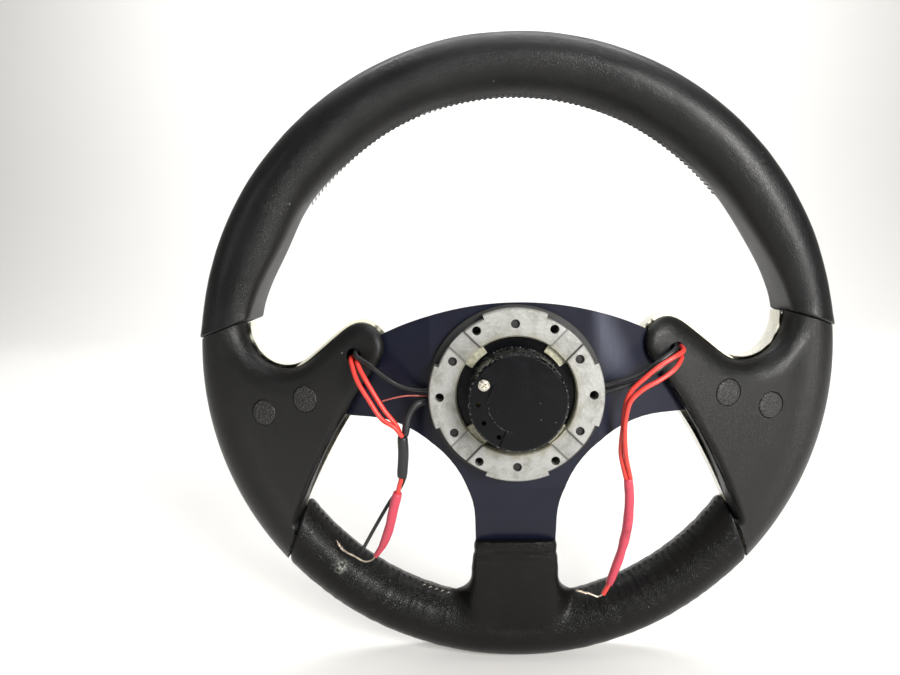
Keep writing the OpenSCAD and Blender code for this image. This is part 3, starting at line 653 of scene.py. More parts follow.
def fill_gloss(f: Finish, g: Graph) -> None:
    """Smooth gloss moulding, a little yellowed and dusty."""
    age = g.noise(35, 3.0)
    g.bump(g.noise(9, 2.0), f.depth_mm, f.edge_mm)
    yellowed = tuple(c * keep for c, keep in zip(f.base, (0.96, 0.95, 0.88)))
    g.colour(g.mix(age.step(0.3, 0.7), f.base, yellowed))
    g.roughness(age * 0.1 + (f.rough - 0.05))


def fill_plate(f: Finish, g: Graph) -> None:
    """Satin navy paint with brushed streaks, faint handling marks, chips and a painted highlight
    across the right arm.
    """
    brushed = g.noise(1.6, 4.0, 0.7, at=g.stretched((1.0, 1.0, 0.1)))
    clouds = g.noise(24, 4.0, 0.6)
    chips = g.specks(9.0, 0.08, 0.05)
    # Painted highlight: a diagonal band on the right arm is mixed towards a light grey-blue, where
    # the arm's bend would catch the light.
    highlight_band = (g.x + g.z * 0.45 - 57.0 * MM).absolute().step(13 * MM, 0.0)
    painted_highlight = highlight_band * g.x.step(36 * MM, 44 * MM) * g.z.step(-10 * MM, 22 * MM) * (brushed * 0.5 + 0.5)
    paint = g.mix(clouds.step(0.35, 0.75), f.base, scaled(f.base, 1.35))
    paint = g.mix(painted_highlight * 0.55, paint, (0.098, 0.105, 0.14))
    g.colour(g.mix(chips, paint, (0.16, 0.17, 0.2)))
    g.roughness(clouds * 0.16 + brushed * 0.12 + (f.rough - 0.12))
    g.bump(brushed, f.depth_mm, f.edge_mm)


def fill_cast(f: Finish, g: Graph) -> None:
    """Die-cast ring: turned face, brown and dark stains, painted shade in the four channels and
    along their edges, glue on the lugs.
    """
    r = g.radius()
    stains = g.noise(7, 5.0, 0.65)
    mottle = g.noise(1.8, 4.0, 0.7)
    turned = g.noise(0.5, 2.0, at=g.stretched((0.2, 1.0, 0.2)))
    lugs = r.step(29.6 * MM, 28.6 * MM)
    across = (g.x.absolute() - g.z.absolute()).absolute() * 0.7071
    # Painted shade: darker inside the four channels and in thin lines along their edges.
    groove = across.step(5.5 * MM, 5.0 * MM)
    channel_edge_shade = (across - 5.2 * MM).absolute().step(0.9 * MM, 0.1 * MM) * 0.85
    edge = r.step(29 * MM, 33 * MM)
    metal = g.mix(stains.step(0.42, 0.68), f.base, (0.2, 0.2, 0.18))
    metal = g.mix(mottle.step(0.5, 0.75) * 0.5, metal, (0.47, 0.47, 0.445))
    metal = g.mix((1.0 - edge) * stains.step(0.3, 0.6) * 0.7, metal, (0.22, 0.21, 0.16))
    metal = g.mix(groove * 0.2 + channel_edge_shade, metal, (0.1, 0.1, 0.095))
    glue = g.mix(mottle.step(0.35, 0.65), (0.40, 0.39, 0.28), (0.20, 0.19, 0.12))
    g.colour(g.mix(lugs * 0.85, metal, glue))
    g.feed(g.shader.inputs["Metallic"], (1.0 - lugs) * f.metal)
    g.roughness(stains * 0.25 + (f.rough - 0.08))
    g.bump(mottle * 0.6 + turned * 0.4, f.depth_mm, f.edge_mm)


def fill_cup(f: Finish, g: Graph) -> None:
    """Black moulding with finger marks and pale dust on its lips."""
    r = g.radius()
    smudge = g.noise(11, 4.0, 0.6).step(0.45, 0.8)
    dust = g.noise(1.1, 3.0, 0.7).step(0.5, 0.7)
    lip = r.step(22.0 * MM, 22.9 * MM) * r.step(23.6 * MM, 23.0 * MM)
    arc = (r - 14.0 * MM).absolute().step(0.5 * MM, 0.1 * MM) * g.x.step(-2 * MM, -8 * MM)
    arc = arc * g.z.step(4 * MM, -2 * MM)
    plastic = g.mix(smudge, f.base, scaled(f.base, 1.9))
    plastic = g.mix((lip * 0.6 + arc * 0.8) * dust, plastic, (0.4, 0.4, 0.38))
    g.colour(g.mix(g.specks(3.4, 0.12, 0.07), plastic, (0.3, 0.3, 0.29)))
    g.roughness(smudge * 0.2 + (f.rough - 0.06))
    g.bump(g.noise(0.8, 3.0), f.depth_mm, f.edge_mm)


def fill_plain(f: Finish, g: Graph) -> None:
    """Plain moulding or rubber with slight dust and soft edges."""
    dust = g.noise(6, 4.0, 0.65).step(0.45, 0.8)
    g.colour(g.mix(dust, f.base, scaled(f.base, 1.5)))
    g.roughness(dust * 0.15 + (f.rough - 0.05))
    g.bump(g.noise(f.grain_mm, 3.0), f.depth_mm, f.edge_mm)


def fill_plug(f: Finish, g: Graph) -> None:
    """Plug with raised dots and a dark joint round it."""
    dots, tone = g.cells(f.grain_mm)
    raised = dots.step(0.55, 0.15)
    g.bump(raised * (tone * 0.4 + 0.6), f.depth_mm, f.edge_mm)
    g.colour(g.mix(raised, scaled(f.base, 0.75), scaled(f.base, 1.5)))
    g.roughness(raised * 0.1 + (f.rough - 0.05))


def fill_metal(f: Finish, g: Graph) -> None:
    """Plain metal with fine scratches and tarnish."""
    tarnish = g.noise(3, 4.0, 0.6)
    scratches = g.noise(0.35, 2.0, at=g.stretched((1.0, 1.0, 0.15)))
    g.colour(g.mix(tarnish.step(0.4, 0.75), f.base, scaled(f.base, 0.55)))
    g.roughness(scratches * 0.15 + tarnish * 0.1 + (f.rough - 0.12))
    g.bump(scratches, f.depth_mm, f.edge_mm)


def fill_wire(f: Finish, g: Graph) -> None:
    """Soft insulation with slight waviness and grime."""
    grime = g.noise(5, 4.0, 0.6).step(0.45, 0.8)
    g.colour(g.mix(grime, f.base, scaled(f.base, 0.62)))
    g.roughness(grime * 0.15 + (f.rough - 0.05))
    g.bump(g.noise(1.6, 2.0), f.depth_mm)


def fill_strand(f: Finish, g: Graph) -> None:
    """Fine twisted copper strands, tinned in places."""
    tin = g.noise(1.3, 3.0)
    g.colour(g.mix(tin.step(0.42, 0.6), f.base, (0.72, 0.68, 0.58)))
    g.roughness(tin * 0.2 + (f.rough - 0.1))
    g.bump(g.noise(0.3, 2.0), f.depth_mm)


class Finishes:
    """All finishes of the wheel."""

    upper_leather = Finish("leather_smooth", "leather", (0.0046, 0.0045, 0.0047), 0.32,
                           fill_leather, specular=0.25, grain_mm=0.9, depth_mm=0.075)
    lower_leather = Finish("leather_grained", "leather", (0.0038, 0.0036, 0.0035), 0.3,
                           fill_lower_leather, specular=0.14, grain_mm=1.15, depth_mm=0.11)
    thread = Finish("thread_black", "leather", (0.009, 0.009, 0.009), 0.6, fill_wire, depth_mm=0.05)
    pale_thread = Finish("thread_pale", "leather", (0.3, 0.28, 0.24), 0.75, fill_wire,
                         depth_mm=0.05)
    shell = Finish("shell_black", "black_shell", (0.0055, 0.0053, 0.0053), 0.31, fill_shell,
                   specular=0.25, grain_mm=0.95, depth_mm=0.08)
    cream = Finish("shell_cream", "white_shell", (0.74, 0.72, 0.61), 0.28, fill_gloss, coat=0.25,
                   depth_mm=0.02)
    plate = Finish("plate_navy", "blue_plate", (0.0036, 0.0045, 0.0115), 0.3, fill_plate,
                   specular=0.24, depth_mm=0.004)
    cast = Finish("ring_cast", "cast_ring", (0.295, 0.295, 0.282), 0.46, fill_cast, metal=0.55,
                  depth_mm=0.06, edge_mm=0.35)
    spacer = Finish("spacer_black", "spacer", (0.013, 0.013, 0.0125), 0.7, fill_plain, specular=0.4,
                    grain_mm=1.2, depth_mm=0.05)
    cup = Finish("cup_black", "cup_plastic", (0.0018, 0.002, 0.0026), 0.3, fill_cup,
                 specular=0.12, depth_mm=0.02)
    plug = Finish("plug_black", "plug", (0.0125, 0.0118, 0.0112), 0.5, fill_plug, specular=0.4,
                  grain_mm=1.3, depth_mm=0.5, edge_mm=0.4)
    nickel = Finish("screw_nickel", "nickel_screw", (0.74, 0.7, 0.6), 0.3, fill_metal, metal=1.0,
                    depth_mm=0.01, edge_mm=0.2)
    zinc = Finish("screw_zinc", "zinc_screw", (0.5, 0.5, 0.47), 0.4, fill_metal, metal=1.0,
                  depth_mm=0.01, edge_mm=0.2)
    dark_screw = Finish("screw_dark", "black_screw", (0.03, 0.03, 0.03), 0.6, fill_metal, metal=0.7,
                        depth_mm=0.01, edge_mm=0.2)
    steel = Finish("core_steel", "core_steel", (0.3, 0.3, 0.3), 0.5, fill_metal, metal=1.0,
                   depth_mm=0.01)
    foam = Finish("padding_foam", "foam", (0.06, 0.055, 0.05), 0.9, fill_plain, grain_mm=0.8,
                  depth_mm=0.2)
    brass = Finish("contact_brass", "brass", (0.6, 0.44, 0.2), 0.4, fill_metal, metal=1.0,
                   depth_mm=0.01)
    push = Finish("push_black", "push_plastic", (0.008, 0.008, 0.009), 0.32, fill_plain,
                  grain_mm=0.9, depth_mm=0.015)
    trim = Finish("trim_black", "trim", (0.01, 0.01, 0.011), 0.5, fill_plain, grain_mm=0.8,
                  depth_mm=0.03)
    red_button = Finish("button_red", "button_red", (0.5, 0.02, 0.015), 0.3, fill_plain,
                        grain_mm=1.5, depth_mm=0.01)
    switch = Finish("switch_black", "switch_body", (0.015, 0.015, 0.015), 0.5, fill_plain,
                    depth_mm=0.02)
    red = Finish("wire_red", "red_wire", (0.59, 0.036, 0.025), 0.42, fill_wire, depth_mm=0.05)
    feed = Finish("wire_feed", "red_wire", (0.3, 0.06, 0.05), 0.5, fill_wire, depth_mm=0.03)
    pink = Finish("sleeve_pink", "pink_sleeve", (0.455, 0.04, 0.07), 0.48, fill_wire, depth_mm=0.09)
    black = Finish("wire_black", "black_wire", (0.006, 0.006, 0.0065), 0.36, fill_wire,
                   specular=0.4, depth_mm=0.05)
    sleeve = Finish("sleeve_black", "black_wire", (0.007, 0.008, 0.0085), 0.5, fill_wire,
                    specular=0.45, depth_mm=0.06)
    copper = Finish("strand_copper", "copper", (0.56, 0.44, 0.34), 0.4, fill_strand, metal=0.9,
                    depth_mm=0.03)
    floor = Finish("floor_pale", "floor", (0.84, 0.83, 0.81), 0.7)


# ---------------------------------------------------------------- meshes


def linked(name: str, data: bpy.types.ID) -> bpy.types.Object:
    """A new object in the scene."""
    obj = bpy.data.objects.new(name, data)
    bpy.context.scene.collection.objects.link(obj)
    return obj


def aimed(name: str, data: bpy.types.ID, at: Sequence[float],
          axes: Sequence[Sequence[float]]) -> bpy.types.Object:
    """A new object at a place in metres, turned so that its own axes are the three given.

    Args:
        name: Name of the object.
        data: Its light or camera.
        at: Place in metres.
        axes: Its X, Y and Z axes.

    Returns:
        The object.
    """
    obj = linked(name, data)
    obj.matrix_world = Matrix.Translation(at) @ Matrix(np.array(axes).T.tolist()).to_4x4()
    return obj


@dataclass
class Surface:
    """Points and faces of a mesh in millimetres."""

    points: Array
    faces: list = field(default_factory=list)

    @staticmethod
    def grid(points: Array, wrap_rows: bool = False, wrap_cols: bool = False,
             flip: bool = False) -> "Surface":
        """Quads over a grid of points.

        Args:
            points: Array of rows, columns and three coordinates.
            wrap_rows: Joins the last row to the first.
            wrap_cols: Joins the last column to the first.
            flip: Turns the faces over.

        Returns:
            The surface.
        """
        rows, cols = points.shape[:2]
        i = np.arange(rows if wrap_rows else rows - 1)[:, None]
        k = np.arange(cols if wrap_cols else cols - 1)[None, :]
        i2, k2 = (i + 1) % rows, (k + 1) % cols
        quads = np.stack([i * cols + k, i * cols + k2, i2 * cols + k2, i2 * cols + k], axis=-1)
        quads = quads.reshape(-1, 4)
        if flip:
            quads = quads[:, ::-1]
        return Surface(points.reshape(-1, 3), quads.tolist())

    @staticmethod
    def closed(rings: Array, flip: bool = False) -> "Surface":
        """A tube over rings of points, with a face over each end.

        Args:
            rings: Array of rings, sides and three coordinates.
            flip: Turns the faces over.

        Returns:
            The surface.
        """
        count, sides = rings.shape[:2]
        surface = Surface.grid(rings, wrap_cols=True, flip=flip)
        first, last = list(range(sides)), list(range((count - 1) * sides, count * sides))
        surface.faces += [first, last[::-1]] if flip else [first[::-1], last]
        return surface

    @staticmethod
    def union(parts: Sequence["Surface"]) -> "Surface":
        """Several surfaces in one mesh."""
        faces, start = [], 0
        for part in parts:
            faces.extend([v + start for v in face] for face in part.faces)
            start += len(part.points)
        return Surface(np.concatenate([part.points for part in parts]), faces)

    def mirrored(self) -> "Surface":
        """The same surface on the other side of the middle plane."""
        return Surface(self.points * np.array([-1.0, 1.0, 1.0]),
                       [face[::-1] for face in self.faces])

    def mesh(self, name: str) -> bpy.types.Object:
        """Makes the Blender object, smooth shaded."""
        data = bpy.data.meshes.new(name)
        data.from_pydata((self.points * MM).tolist(), [], self.faces)
        data.validate()
        data.polygons.foreach_set("use_smooth", [True] * len(data.polygons))
        return linked(name, data)


def place(obj: bpy.types.Object, finish: Finish, *nodes: str,
          body: Body = Body.WHEEL) -> bpy.types.Object:
    """Gives a piece its finish and body, and hides the CAD nodes that it stands for.

    Args:
        obj: The piece.
        finish: Its finish.
        nodes: CAD nodes that it replaces.
        body: Body that it rides on.

    Returns:
        The same piece.
    """
    obj.data.materials.clear()
    obj.data.materials.append(finish.build())
    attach(obj, body.value)
    LOG.info("%s: %s on %s", obj.name, finish.slot, body.value)
    if nodes:
        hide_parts(*nodes)
    return obj


def applied(obj: bpy.types.Object) -> None:
    """Bakes the object's modifiers into its mesh."""
    graph = bpy.context.evaluated_depsgraph_get()
    baked = bpy.data.meshes.new_from_object(obj.evaluated_get(graph))
    old = obj.data
    obj.modifiers.clear()
    obj.data = baked
    bpy.data.meshes.remove(old)


def rings_along(line: Array, radius: Number, sides: int) -> Array:
    """Rings of points round a line, without twist.

    Args:
        line: Points along the line.
        radius: One radius, or one for each point.
        sides: Points in a ring.

    Returns:
        Array of rings, sides and three coordinates.
    """
    t = unit(np.gradient(line, axis=0))
    n = np.zeros_like(line)
    level = [0.0, 0.0, 1.0] if abs(t[0][2]) < 0.9 else [1.0, 0.0, 0.0]
    n[0] = unit(np.cross(t[0], level))
    for i in range(1, len(line)):
        n[i] = unit(n[i - 1] - np.dot(n[i - 1], t[i]) * t[i])
    b = np.cross(t, n)
    a = turn(sides)[None, :, None]
    r = np.broadcast_to(np.asarray(radius, dtype=float), (len(line),))[:, None, None]
    return line[:, None] + r * (np.cos(a) * n[:, None] + np.sin(a) * b[:, None])


def capped_tube(line: Array, radius: Number, sides: int) -> Surface:
    """A closed tube along a line."""
    return Surface.closed(rings_along(line, radius, sides))


def through(points: Sequence[Sequence[float]], step: int) -> Array:
    """A smooth line through given points, with a few samples a span.

    Cubic spans of a Catmull-Rom spline, whose ends run straight on.

    Args:
        points: Points that the line passes.
        step: Samples in a span.

    Returns:
        Points along the line.
    """
    p = np.asarray(points, dtype=float)
    p = np.concatenate([[2 * p[0] - p[1]], p, [2 * p[-1] - p[-2]]])
    out = []
    for a, b, c, d in zip(p[:-3], p[1:-2], p[2:-1], p[3:]):
        t = np.linspace(0, 1, step, endpoint=False)[:, None]
        out.append(0.5 * (2 * b + (c - a) * t + (2 * a - 5 * b + 4 * c - d) * t * t
                          + (3 * b - a - 3 * c + d) * t ** 3))
    return np.concatenate(out + [p[-2:-1]])


# ---------------------------------------------------------------- wires


@dataclass(frozen=True)
class Wire:
    """One wire, sleeve or bunch of strands.

    Attributes:
        name: Name of the piece.
        route: Points that it follows, in millimetres.
        radius: Radius of the insulation.
        finish: Its finish.
        nodes: CAD nodes that it stands for.
        strand_r: Radius of one bare strand.
    """

    name: str
    route: tuple
    radius: float
    finish: Finish
    nodes: tuple[str, ...] = ()
    strand_r: float = 0.13

    def line(self) -> Array:
        """The smooth route, in 15 to 40 points."""
        spans = len(self.route) - 1
        return through(self.route, max(1, round(30 / spans)))

    def curve(self) -> bpy.types.Object:
        """The wire as a curve with one open spline."""
        line = self.line()
        data = bpy.data.curves.new(self.name, "CURVE")
        data.dimensions = "3D"
        data.bevel_depth = self.radius * MM
        data.bevel_resolution = 4
        data.use_fill_caps = True
        data.resolution_u = 5
        spline = data.splines.new("BEZIER")
        spline.bezier_points.add(len(line) - 1)
        spline.bezier_points.foreach_set("co", (line * MM).ravel())
        for point in spline.bezier_points:
            point.handle_left_type = point.handle_right_type = "AUTO"
        return place(linked(self.name, data), self.finish, *self.nodes)

    def declared(self) -> None:
        """The wire as a curve.
        """
        obj = self.curve()
        line = self.line()

    def lumpy(self, swell: float, seed: int, taper: float = 0.0) -> bpy.types.Object:
        """The wire as a shrink sleeve that shows what lies in it.

        Args:
            swell: Share of the radius that the lumps add or take.
            seed: Seed of the lumps.
            taper: Share of the radius that is lost towards the far end.

        Returns:
            The piece.
        """
        line = through(self.route, 16)
        run = np.linspace(0, 1, len(line))
        radius = self.radius * (1 + swell * Relief(seed).at(line, 7.0))
        radius = radius * (0.9 + 0.1 * np.minimum(1, 12 * np.minimum(run, 1 - run)))
        radius = radius * (1 - taper * ramp((run - 0.35) / 0.65))
        return place(capped_tube(line, radius, 16).mesh(self.name), self.finish, *self.nodes)

    def strands(self, count: int, seed: int) -> bpy.types.Object:
        """The wire as a loose bunch of bare strands.

        Each strand winds round the route, and further from it towards the end.

        Args:
            count: Number of strands.
            seed: Seed of their places.

        Returns:
            The piece.
        """
        rng = np.random.default_rng(seed)
        line = through(self.route, 10)
        run = np.linspace(0, 1, len(line))
        rings = rings_along(line, 1.0, 4)
        u, v = rings[:, 0] - line, rings[:, 1] - line
        tubes = []
        for i in range(count):
            a = 2 * np.pi * i / count + 9 * run + rng.uniform(0, 1)
            spread = self.radius * (0.5 + 1.1 * run * rng.uniform(0.1, 0.8))
            path = line + spread[:, None] * (np.cos(a)[:, None] * u + np.sin(a)[:, None] * v)
            keep = len(line) - int(rng.integers(0, len(line) // 6 + 1))
            tubes.append(capped_tube(path[:keep], self.strand_r, 6))
        return place(Surface.union(tubes).mesh(self.name), self.finish, *self.nodes)


class Wiring:
    """Leads to the horn and the loose, cut wires of the thumb buttons."""

    left_a = ((-80, 25, 18), (-79.4, 17.6, 17.4), (-78.6, 12.8, 15.4), (-75.2, 8.6, 10),
              (-70, 6.7, 1.2), (-64.6, 6, -7.6), (-59.6, 6.6, -14.6), (-57.5, 7.5, -20.6),
              (-56.6, 9.2, -31),
              (-58.4, 12.2, -43.5), (-59.6, 13.4, -48), (-61, 15, -53), (-64, 18.6, -63),
              (-67.2, 23.5, -75), (-71.8, 29.5, -87), (-77, 34, -96))
    left_b = ((-83.2, 25, 17.4), (-82.8, 17.6, 17.2), (-81.4, 12.6, 14.6), (-78, 8, 7),
              (-72.2, 5.7, -2.2), (-66.4, 4.6, -11), (-59.8, 4.4, -15.6), (-56.4, 5.7, -20.6))
    left_feed = ((-44, 10.5, -1.2), (-49, 8.6, -0.6), (-54.2, 7.6, -0.4), (-60, 6.8, -1.2),
                 (-65.8, 6.4, -2.6))
    left_taped = ((-44.2, 10.4, -3.6), (-49.6, 8.6, -5.4), (-53.4, 7.8, -11.4),
                  (-55.2, 7.6, -20.6))
    left_sleeve = ((-56.4, 7, -21), (-56.6, 9, -31), (-58, 12, -43))
    left_pink = left_a[11:15] + ((-76.4, 33.6, -95),)
    left_copper = ((-77.2, 34.2, -96.4), (-80, 36.2, -99.6), (-84.5, 37.5, -100.8),
                   (-90, 39, -98.6), (-95, 40, -96.6), (-98.4, 40.8, -93.6), (-100, 41, -89.6))
    left_black = ((-56.6, 13.0, -43.5), (-60.0, 19.6, -51.5), (-66.6, 23.4, -61), (-76, 26, -77),
                  (-84, 34, -92))
    left_lead = ((-80.8, 25, 21.4), (-80.2, 17.8, 20.7), (-79, 13.4, 19), (-72, 10.4, 14.6),
                 (-64, 9.8, 8.6), (-57, 9.8, 4.2), (-50, 10, 2), (-43, 10.2, 1.6),
                 (-28.4, 10.2, 1.6))
    right_a = ((84, 25, 20.4), (83.4, 17.6, 19.9), (82.4, 12.6, 18.6), (76.6, 8, 16.4),
               (69.5, 6.5, 12.5), (62, 6, 6.5), (56, 6.2, 0.5), (53.4, 7, -7), (52.6, 8.4, -18),
               (52.2, 11.2, -32), (55.4, 14, -45.6), (58.2, 18, -59), (58.4, 23.5, -76),
               (56.6, 29, -92), (54, 32.6, -104), (51.6, 35, -113), (48.6, 36.4, -120))
    right_b = ((82.8, 25, 16.8), (82.4, 17.6, 16.3), (81.6, 12.6, 15), (76.6, 7.4, 10.4),
               (69.5, 5.2, 6), (61.5, 4.4, 1.8), (55.4, 4.4, -4), (53.2, 4.8, -12), (53, 6.4, -22),
               (54.6, 9.8, -34), (57.6, 13.6, -45.6))
    right_pink = ((56.6, 14, -46),) + right_a[11:16]
    right_copper = ((48.4, 36.5, -120.4), (45.4, 36.8, -121.6), (41.6, 37, -120.2),
                    (37.6, 37.4, -119.4), (33.8, 37.6, -118))
    right_lead_a = ((81.4, 25, 21.6), (80.6, 17.8, 20.8), (79, 13.4, 19.4), (71.5, 10.4, 14.8),
                    (61, 9.8, 8.2), (51, 9.8, 4.8), (43, 10.2, 2.6), (28.4, 10.2, 2.6))
    right_lead_b = ((79.6, 25, 18), (79.2, 17.4, 17.6), (77.2, 13, 15.2), (69.6, 9.9, 10),
                    (60.8, 9.8, 4.4), (51, 9.8, 1.6), (43, 10.2, -0.4), (28.4, 10.2, -0.4))

    def make(self) -> None:
        """Makes every wire."""
        f = Finishes
        wire_r, cut_r, lead_r = 1.2, 1.0, 1.3
        sleeve = Wire("left_splice_sleeve", self.left_sleeve, 2.7, f.sleeve, ("left_black_sleeve",))
        taped = Wire("left_tape", self.left_taped, 1.9, f.sleeve, ("left_taped_wires",))
        left_feed = Wire("left_feed", self.left_feed, 0.4, f.feed, ("left_feed_wire",))
        pink = Wire("left_shrink", self.left_pink, 2.7, f.pink, ("left_pink_sleeve",))
        strands = Wire("left_strands", self.left_copper, 0.5, f.copper, ("left_copper_end",))
        on_left = [sleeve.lumpy(0.05, 3), taped.lumpy(0.16, 5), left_feed.curve(),
                   pink.lumpy(0.14, 8, taper=0.4), strands.strands(5, 11)]
        Wire("left_wire_a", self.left_a, wire_r, f.red,
             ("left_red_wire_a", "left_red_tail")).declared()
        Wire("left_wire_b", self.left_b, wire_r, f.red,
             ("left_red_wire_b",)).declared()
        Wire("left_cut_wire", self.left_black, cut_r, f.black,
             ("left_black_tail",)).declared()

        pink = Wire("right_shrink", self.right_pink, 2.5, f.pink, ("right_pink_sleeve",))
        strands = Wire("right_strands", self.right_copper, 0.5, f.copper, ("right_copper_end",))
        on_right = [pink.lumpy(0.09, 13, taper=0.12), strands.strands(6, 17)]
        Wire("right_wire_a", self.right_a, wire_r, f.red,
             ("right_red_wire_a", "right_red_tip")).declared()
        Wire("right_wire_b", self.right_b, wire_r, f.red,
             ("right_red_wire_b",)).declared()

        for name, route, node in (("left_horn_lead", self.left_lead, "left_black_lead"),
                                  ("right_horn_lead_a", self.right_lead_a, "right_black_leads"),
                                  ("right_horn_lead_b", self.right_lead_b, "right_black_leads")):
            Wire(name, route, lead_r, f.black, (node,)).curve()


# ---------------------------------------------------------------- rim


@dataclass
class UpperRim:
    """Upper leather: a torus with thumb rests, a stitched inner seam and turned-in ends."""

    wheel: Wheel
    along: int = 1000
    around: int = 84
    stitched_from: float = 38.0
    stitch_pitch: float = 3.05
    seam_soft: float = 1.2
    proud: float = 0.45
    end_lip: float = 0.55
    end_curl: float = 1.3
    curl_in: float = 1.5
    ridge: float = 0.5
    groove: float = 0.55
    bead: float = 0.22
    dent: float = 0.42
    dimple: float = 0.06
    rest_axis: float = -30.0
    rest_span: float = 40.0
    pad_clear: int = 8
    pad_fill: float = 0.8
    fullness: tuple = ((6, -4.6), (14, -4.4), (20, -2.8), (28, -0.8), (36, -1.6), (50, -1.4),
                       (66, -2.2), (90, -2.4), (114, -2.2), (130, -0.6), (142, -0.4), (148, 1.6),
                       (153, 3.4), (158, 2.6), (165, 0.4), (174, 0.0))

    def full(self, angle: Array) -> Array:
        """How far the inner edge bulges inwards, or lies back, at each ring angle.

        The table's steps are smoothed by a bell curve.

        Args:
            angle: Ring angles in degrees.

        Returns:
            Millimetres inwards.
        """
        at, by = np.array(self.fullness).T
        fine = np.linspace(at[0], at[-1], 400)
        spread = np.exp(-0.5 * (np.linspace(-9, 9, 45) / 3.0) ** 2)
        padded = np.pad(np.interp(fine, at, by), len(spread) // 2, "edge")
        return np.interp(angle, fine, np.convolve(padded, spread / spread.sum(), "valid"))

    def limit(self, angle: Array) -> Array:
        """Radius that the thumb rests' hollows leave at each ring angle."""
        w = self.wheel
        shift = 2 * w.thumb_flat
        r = w.rim_r - 2 * w.tube_r + w.thumb_flat - shift * math.cos(math.radians(self.rest_span))
        side = np.where(angle > 90, 180 - angle, angle)
        across = shift * np.cos(np.radians(side - self.rest_axis))
        return across + np.sqrt(np.maximum(r * r - shift * shift + across * across, 0))

    def seam(self, r: Array) -> Array:
        """Ring angle of the right seam at a radius from the rim's centre."""
        w = self.wheel
        inner = w.notch + polar(w.notch_r, w.notch_from) - w.centre
        return np.degrees(crossing(inner, polar(w.rim_r, w.upper_seam), r) + w.seam_gap / r)

    def between_seams(self, r: Array, share: Array) -> Array:
        """Ring angle a share of the way from the right seam to the left one."""
        return lerp(self.seam(r), 180 - self.seam(r), share)

    def points(self) -> Array:
        """Grid of points, ring by section.

        A torus, whose tube has a lip at its ends, a welt with a groove and beads along
        the inner seam, dents, and hollows for the thumbs.

        Returns:
            Array of rings, points in a ring and three coordinates.
        """
        w = self.wheel
        folds = Relief(21)
        f, phi, c, s = sections(self.along, self.around)
        from_end = np.minimum(f, 1 - f) * np.pi * w.ring_r
        tube = w.tube_r + self.proud + self.end_lip * bell(from_end, 5.0)
        tube = tube - turned_in(from_end, self.end_curl, self.curl_in)
        angle = self.between_seams(w.ring_r + w.tube_r * c, f)
        seamed = (ramp((angle - self.stitched_from) / self.seam_soft)
                  * ramp((180 - self.stitched_from - angle) / self.seam_soft))
        run = np.radians(angle) * w.ring_r
        beat = 0.5 + 0.5 * np.cos(2 * np.pi * run / self.stitch_pitch * 0.9)
        off_seam = (phi - 180) * np.pi / 180 * w.tube_r
        welt = self.ridge * bell(off_seam, 2.4) - self.groove * bell(off_seam, 0.7)
        tube = tube + seamed * (welt + self.bead * beat * bell(off_seam, 1.6))
        x = w.ring_r + tube * c
        at = np.stack([w.ring_r * np.radians(angle), tube * s, tube * c], axis=-1)
        loose = 0.5 + 0.5 * bell(off_seam, 7.0)
        dents = (self.dent * loose * folds.at(at, (21, 12, 12))
                 + self.dimple * folds.at(at + 40, (7, 4, 4)))
        x = smooth_max(x + dents * c, self.limit(angle), 2.5)
        inner_half = ramp(0.5 - 0.5 * c) * np.minimum(1, (w.ring_r + w.tube_r - x) / 12)
        x = x - self.full(angle) * inner_half
        return w.on_rim(x, np.radians(self.between_seams(x, f)), (tube + dents) * s)

    def stitches(self) -> Surface:
        """Slanted thread bars across the inner seam.

        Each one is a short arc that bulges over the seam.

        Returns:
            The bars as one surface.
        """
        w = self.wheel
        span = np.arange(self.stitched_from + 0.8, 180 - self.stitched_from - 0.4,
                         math.degrees(self.stitch_pitch / (w.ring_r - w.tube_r)))
        steps = np.linspace(-1, 1, 5)
        thickness = np.array([0.2, 0.3, 0.33, 0.3, 0.2])
        bars = []
        for i, a in enumerate(span):
            lean = math.cos(math.radians(22 + 6 * math.sin(i * 1.7)))
            ring = np.radians(a + steps * 0.42 * lean)
            r = w.ring_r - w.tube_r - 1.3 + 0.5 * steps ** 2 - self.full(np.degrees(ring))
            bars.append(capped_tube(w.on_rim(r, ring, steps * 1.45 * lean), thickness, 7))
        return Surface.union(bars)

    def padding(self, grid: Array) -> Surface:
        """The foam, which keeps under the hide and short of its ends."""
        w = self.wheel
        inset = slice(self.pad_clear, -self.pad_clear, 6)
        middle = grid[inset].mean(axis=1)
        side = np.arctan2(middle[:, 2] - w.rim_rise, middle[:, 0])
        core = w.on_rim(w.ring_r, side, 0.0)[:, None]
        return Surface.grid(lerp(core, grid[inset, ::3], self.pad_fill), wrap_cols=True)

    def make(self) -> None:
        """Makes the leather, its thread and the foam."""
        grid = self.points()
        ends = [lerp(grid[k], grid[k].mean(axis=0), 0.22)[None] for k in (0, -1)]
        hide = Surface.closed(np.concatenate([ends[0], grid, ends[1]]))
        place(hide.mesh("upper_leather"), Finishes.upper_leather, "leather_upper")
        place(self.padding(grid).mesh("upper_padding"), Finishes.foam, "padding_upper")
        place(self.stitches().mesh("upper_thread"), Finishes.thread)


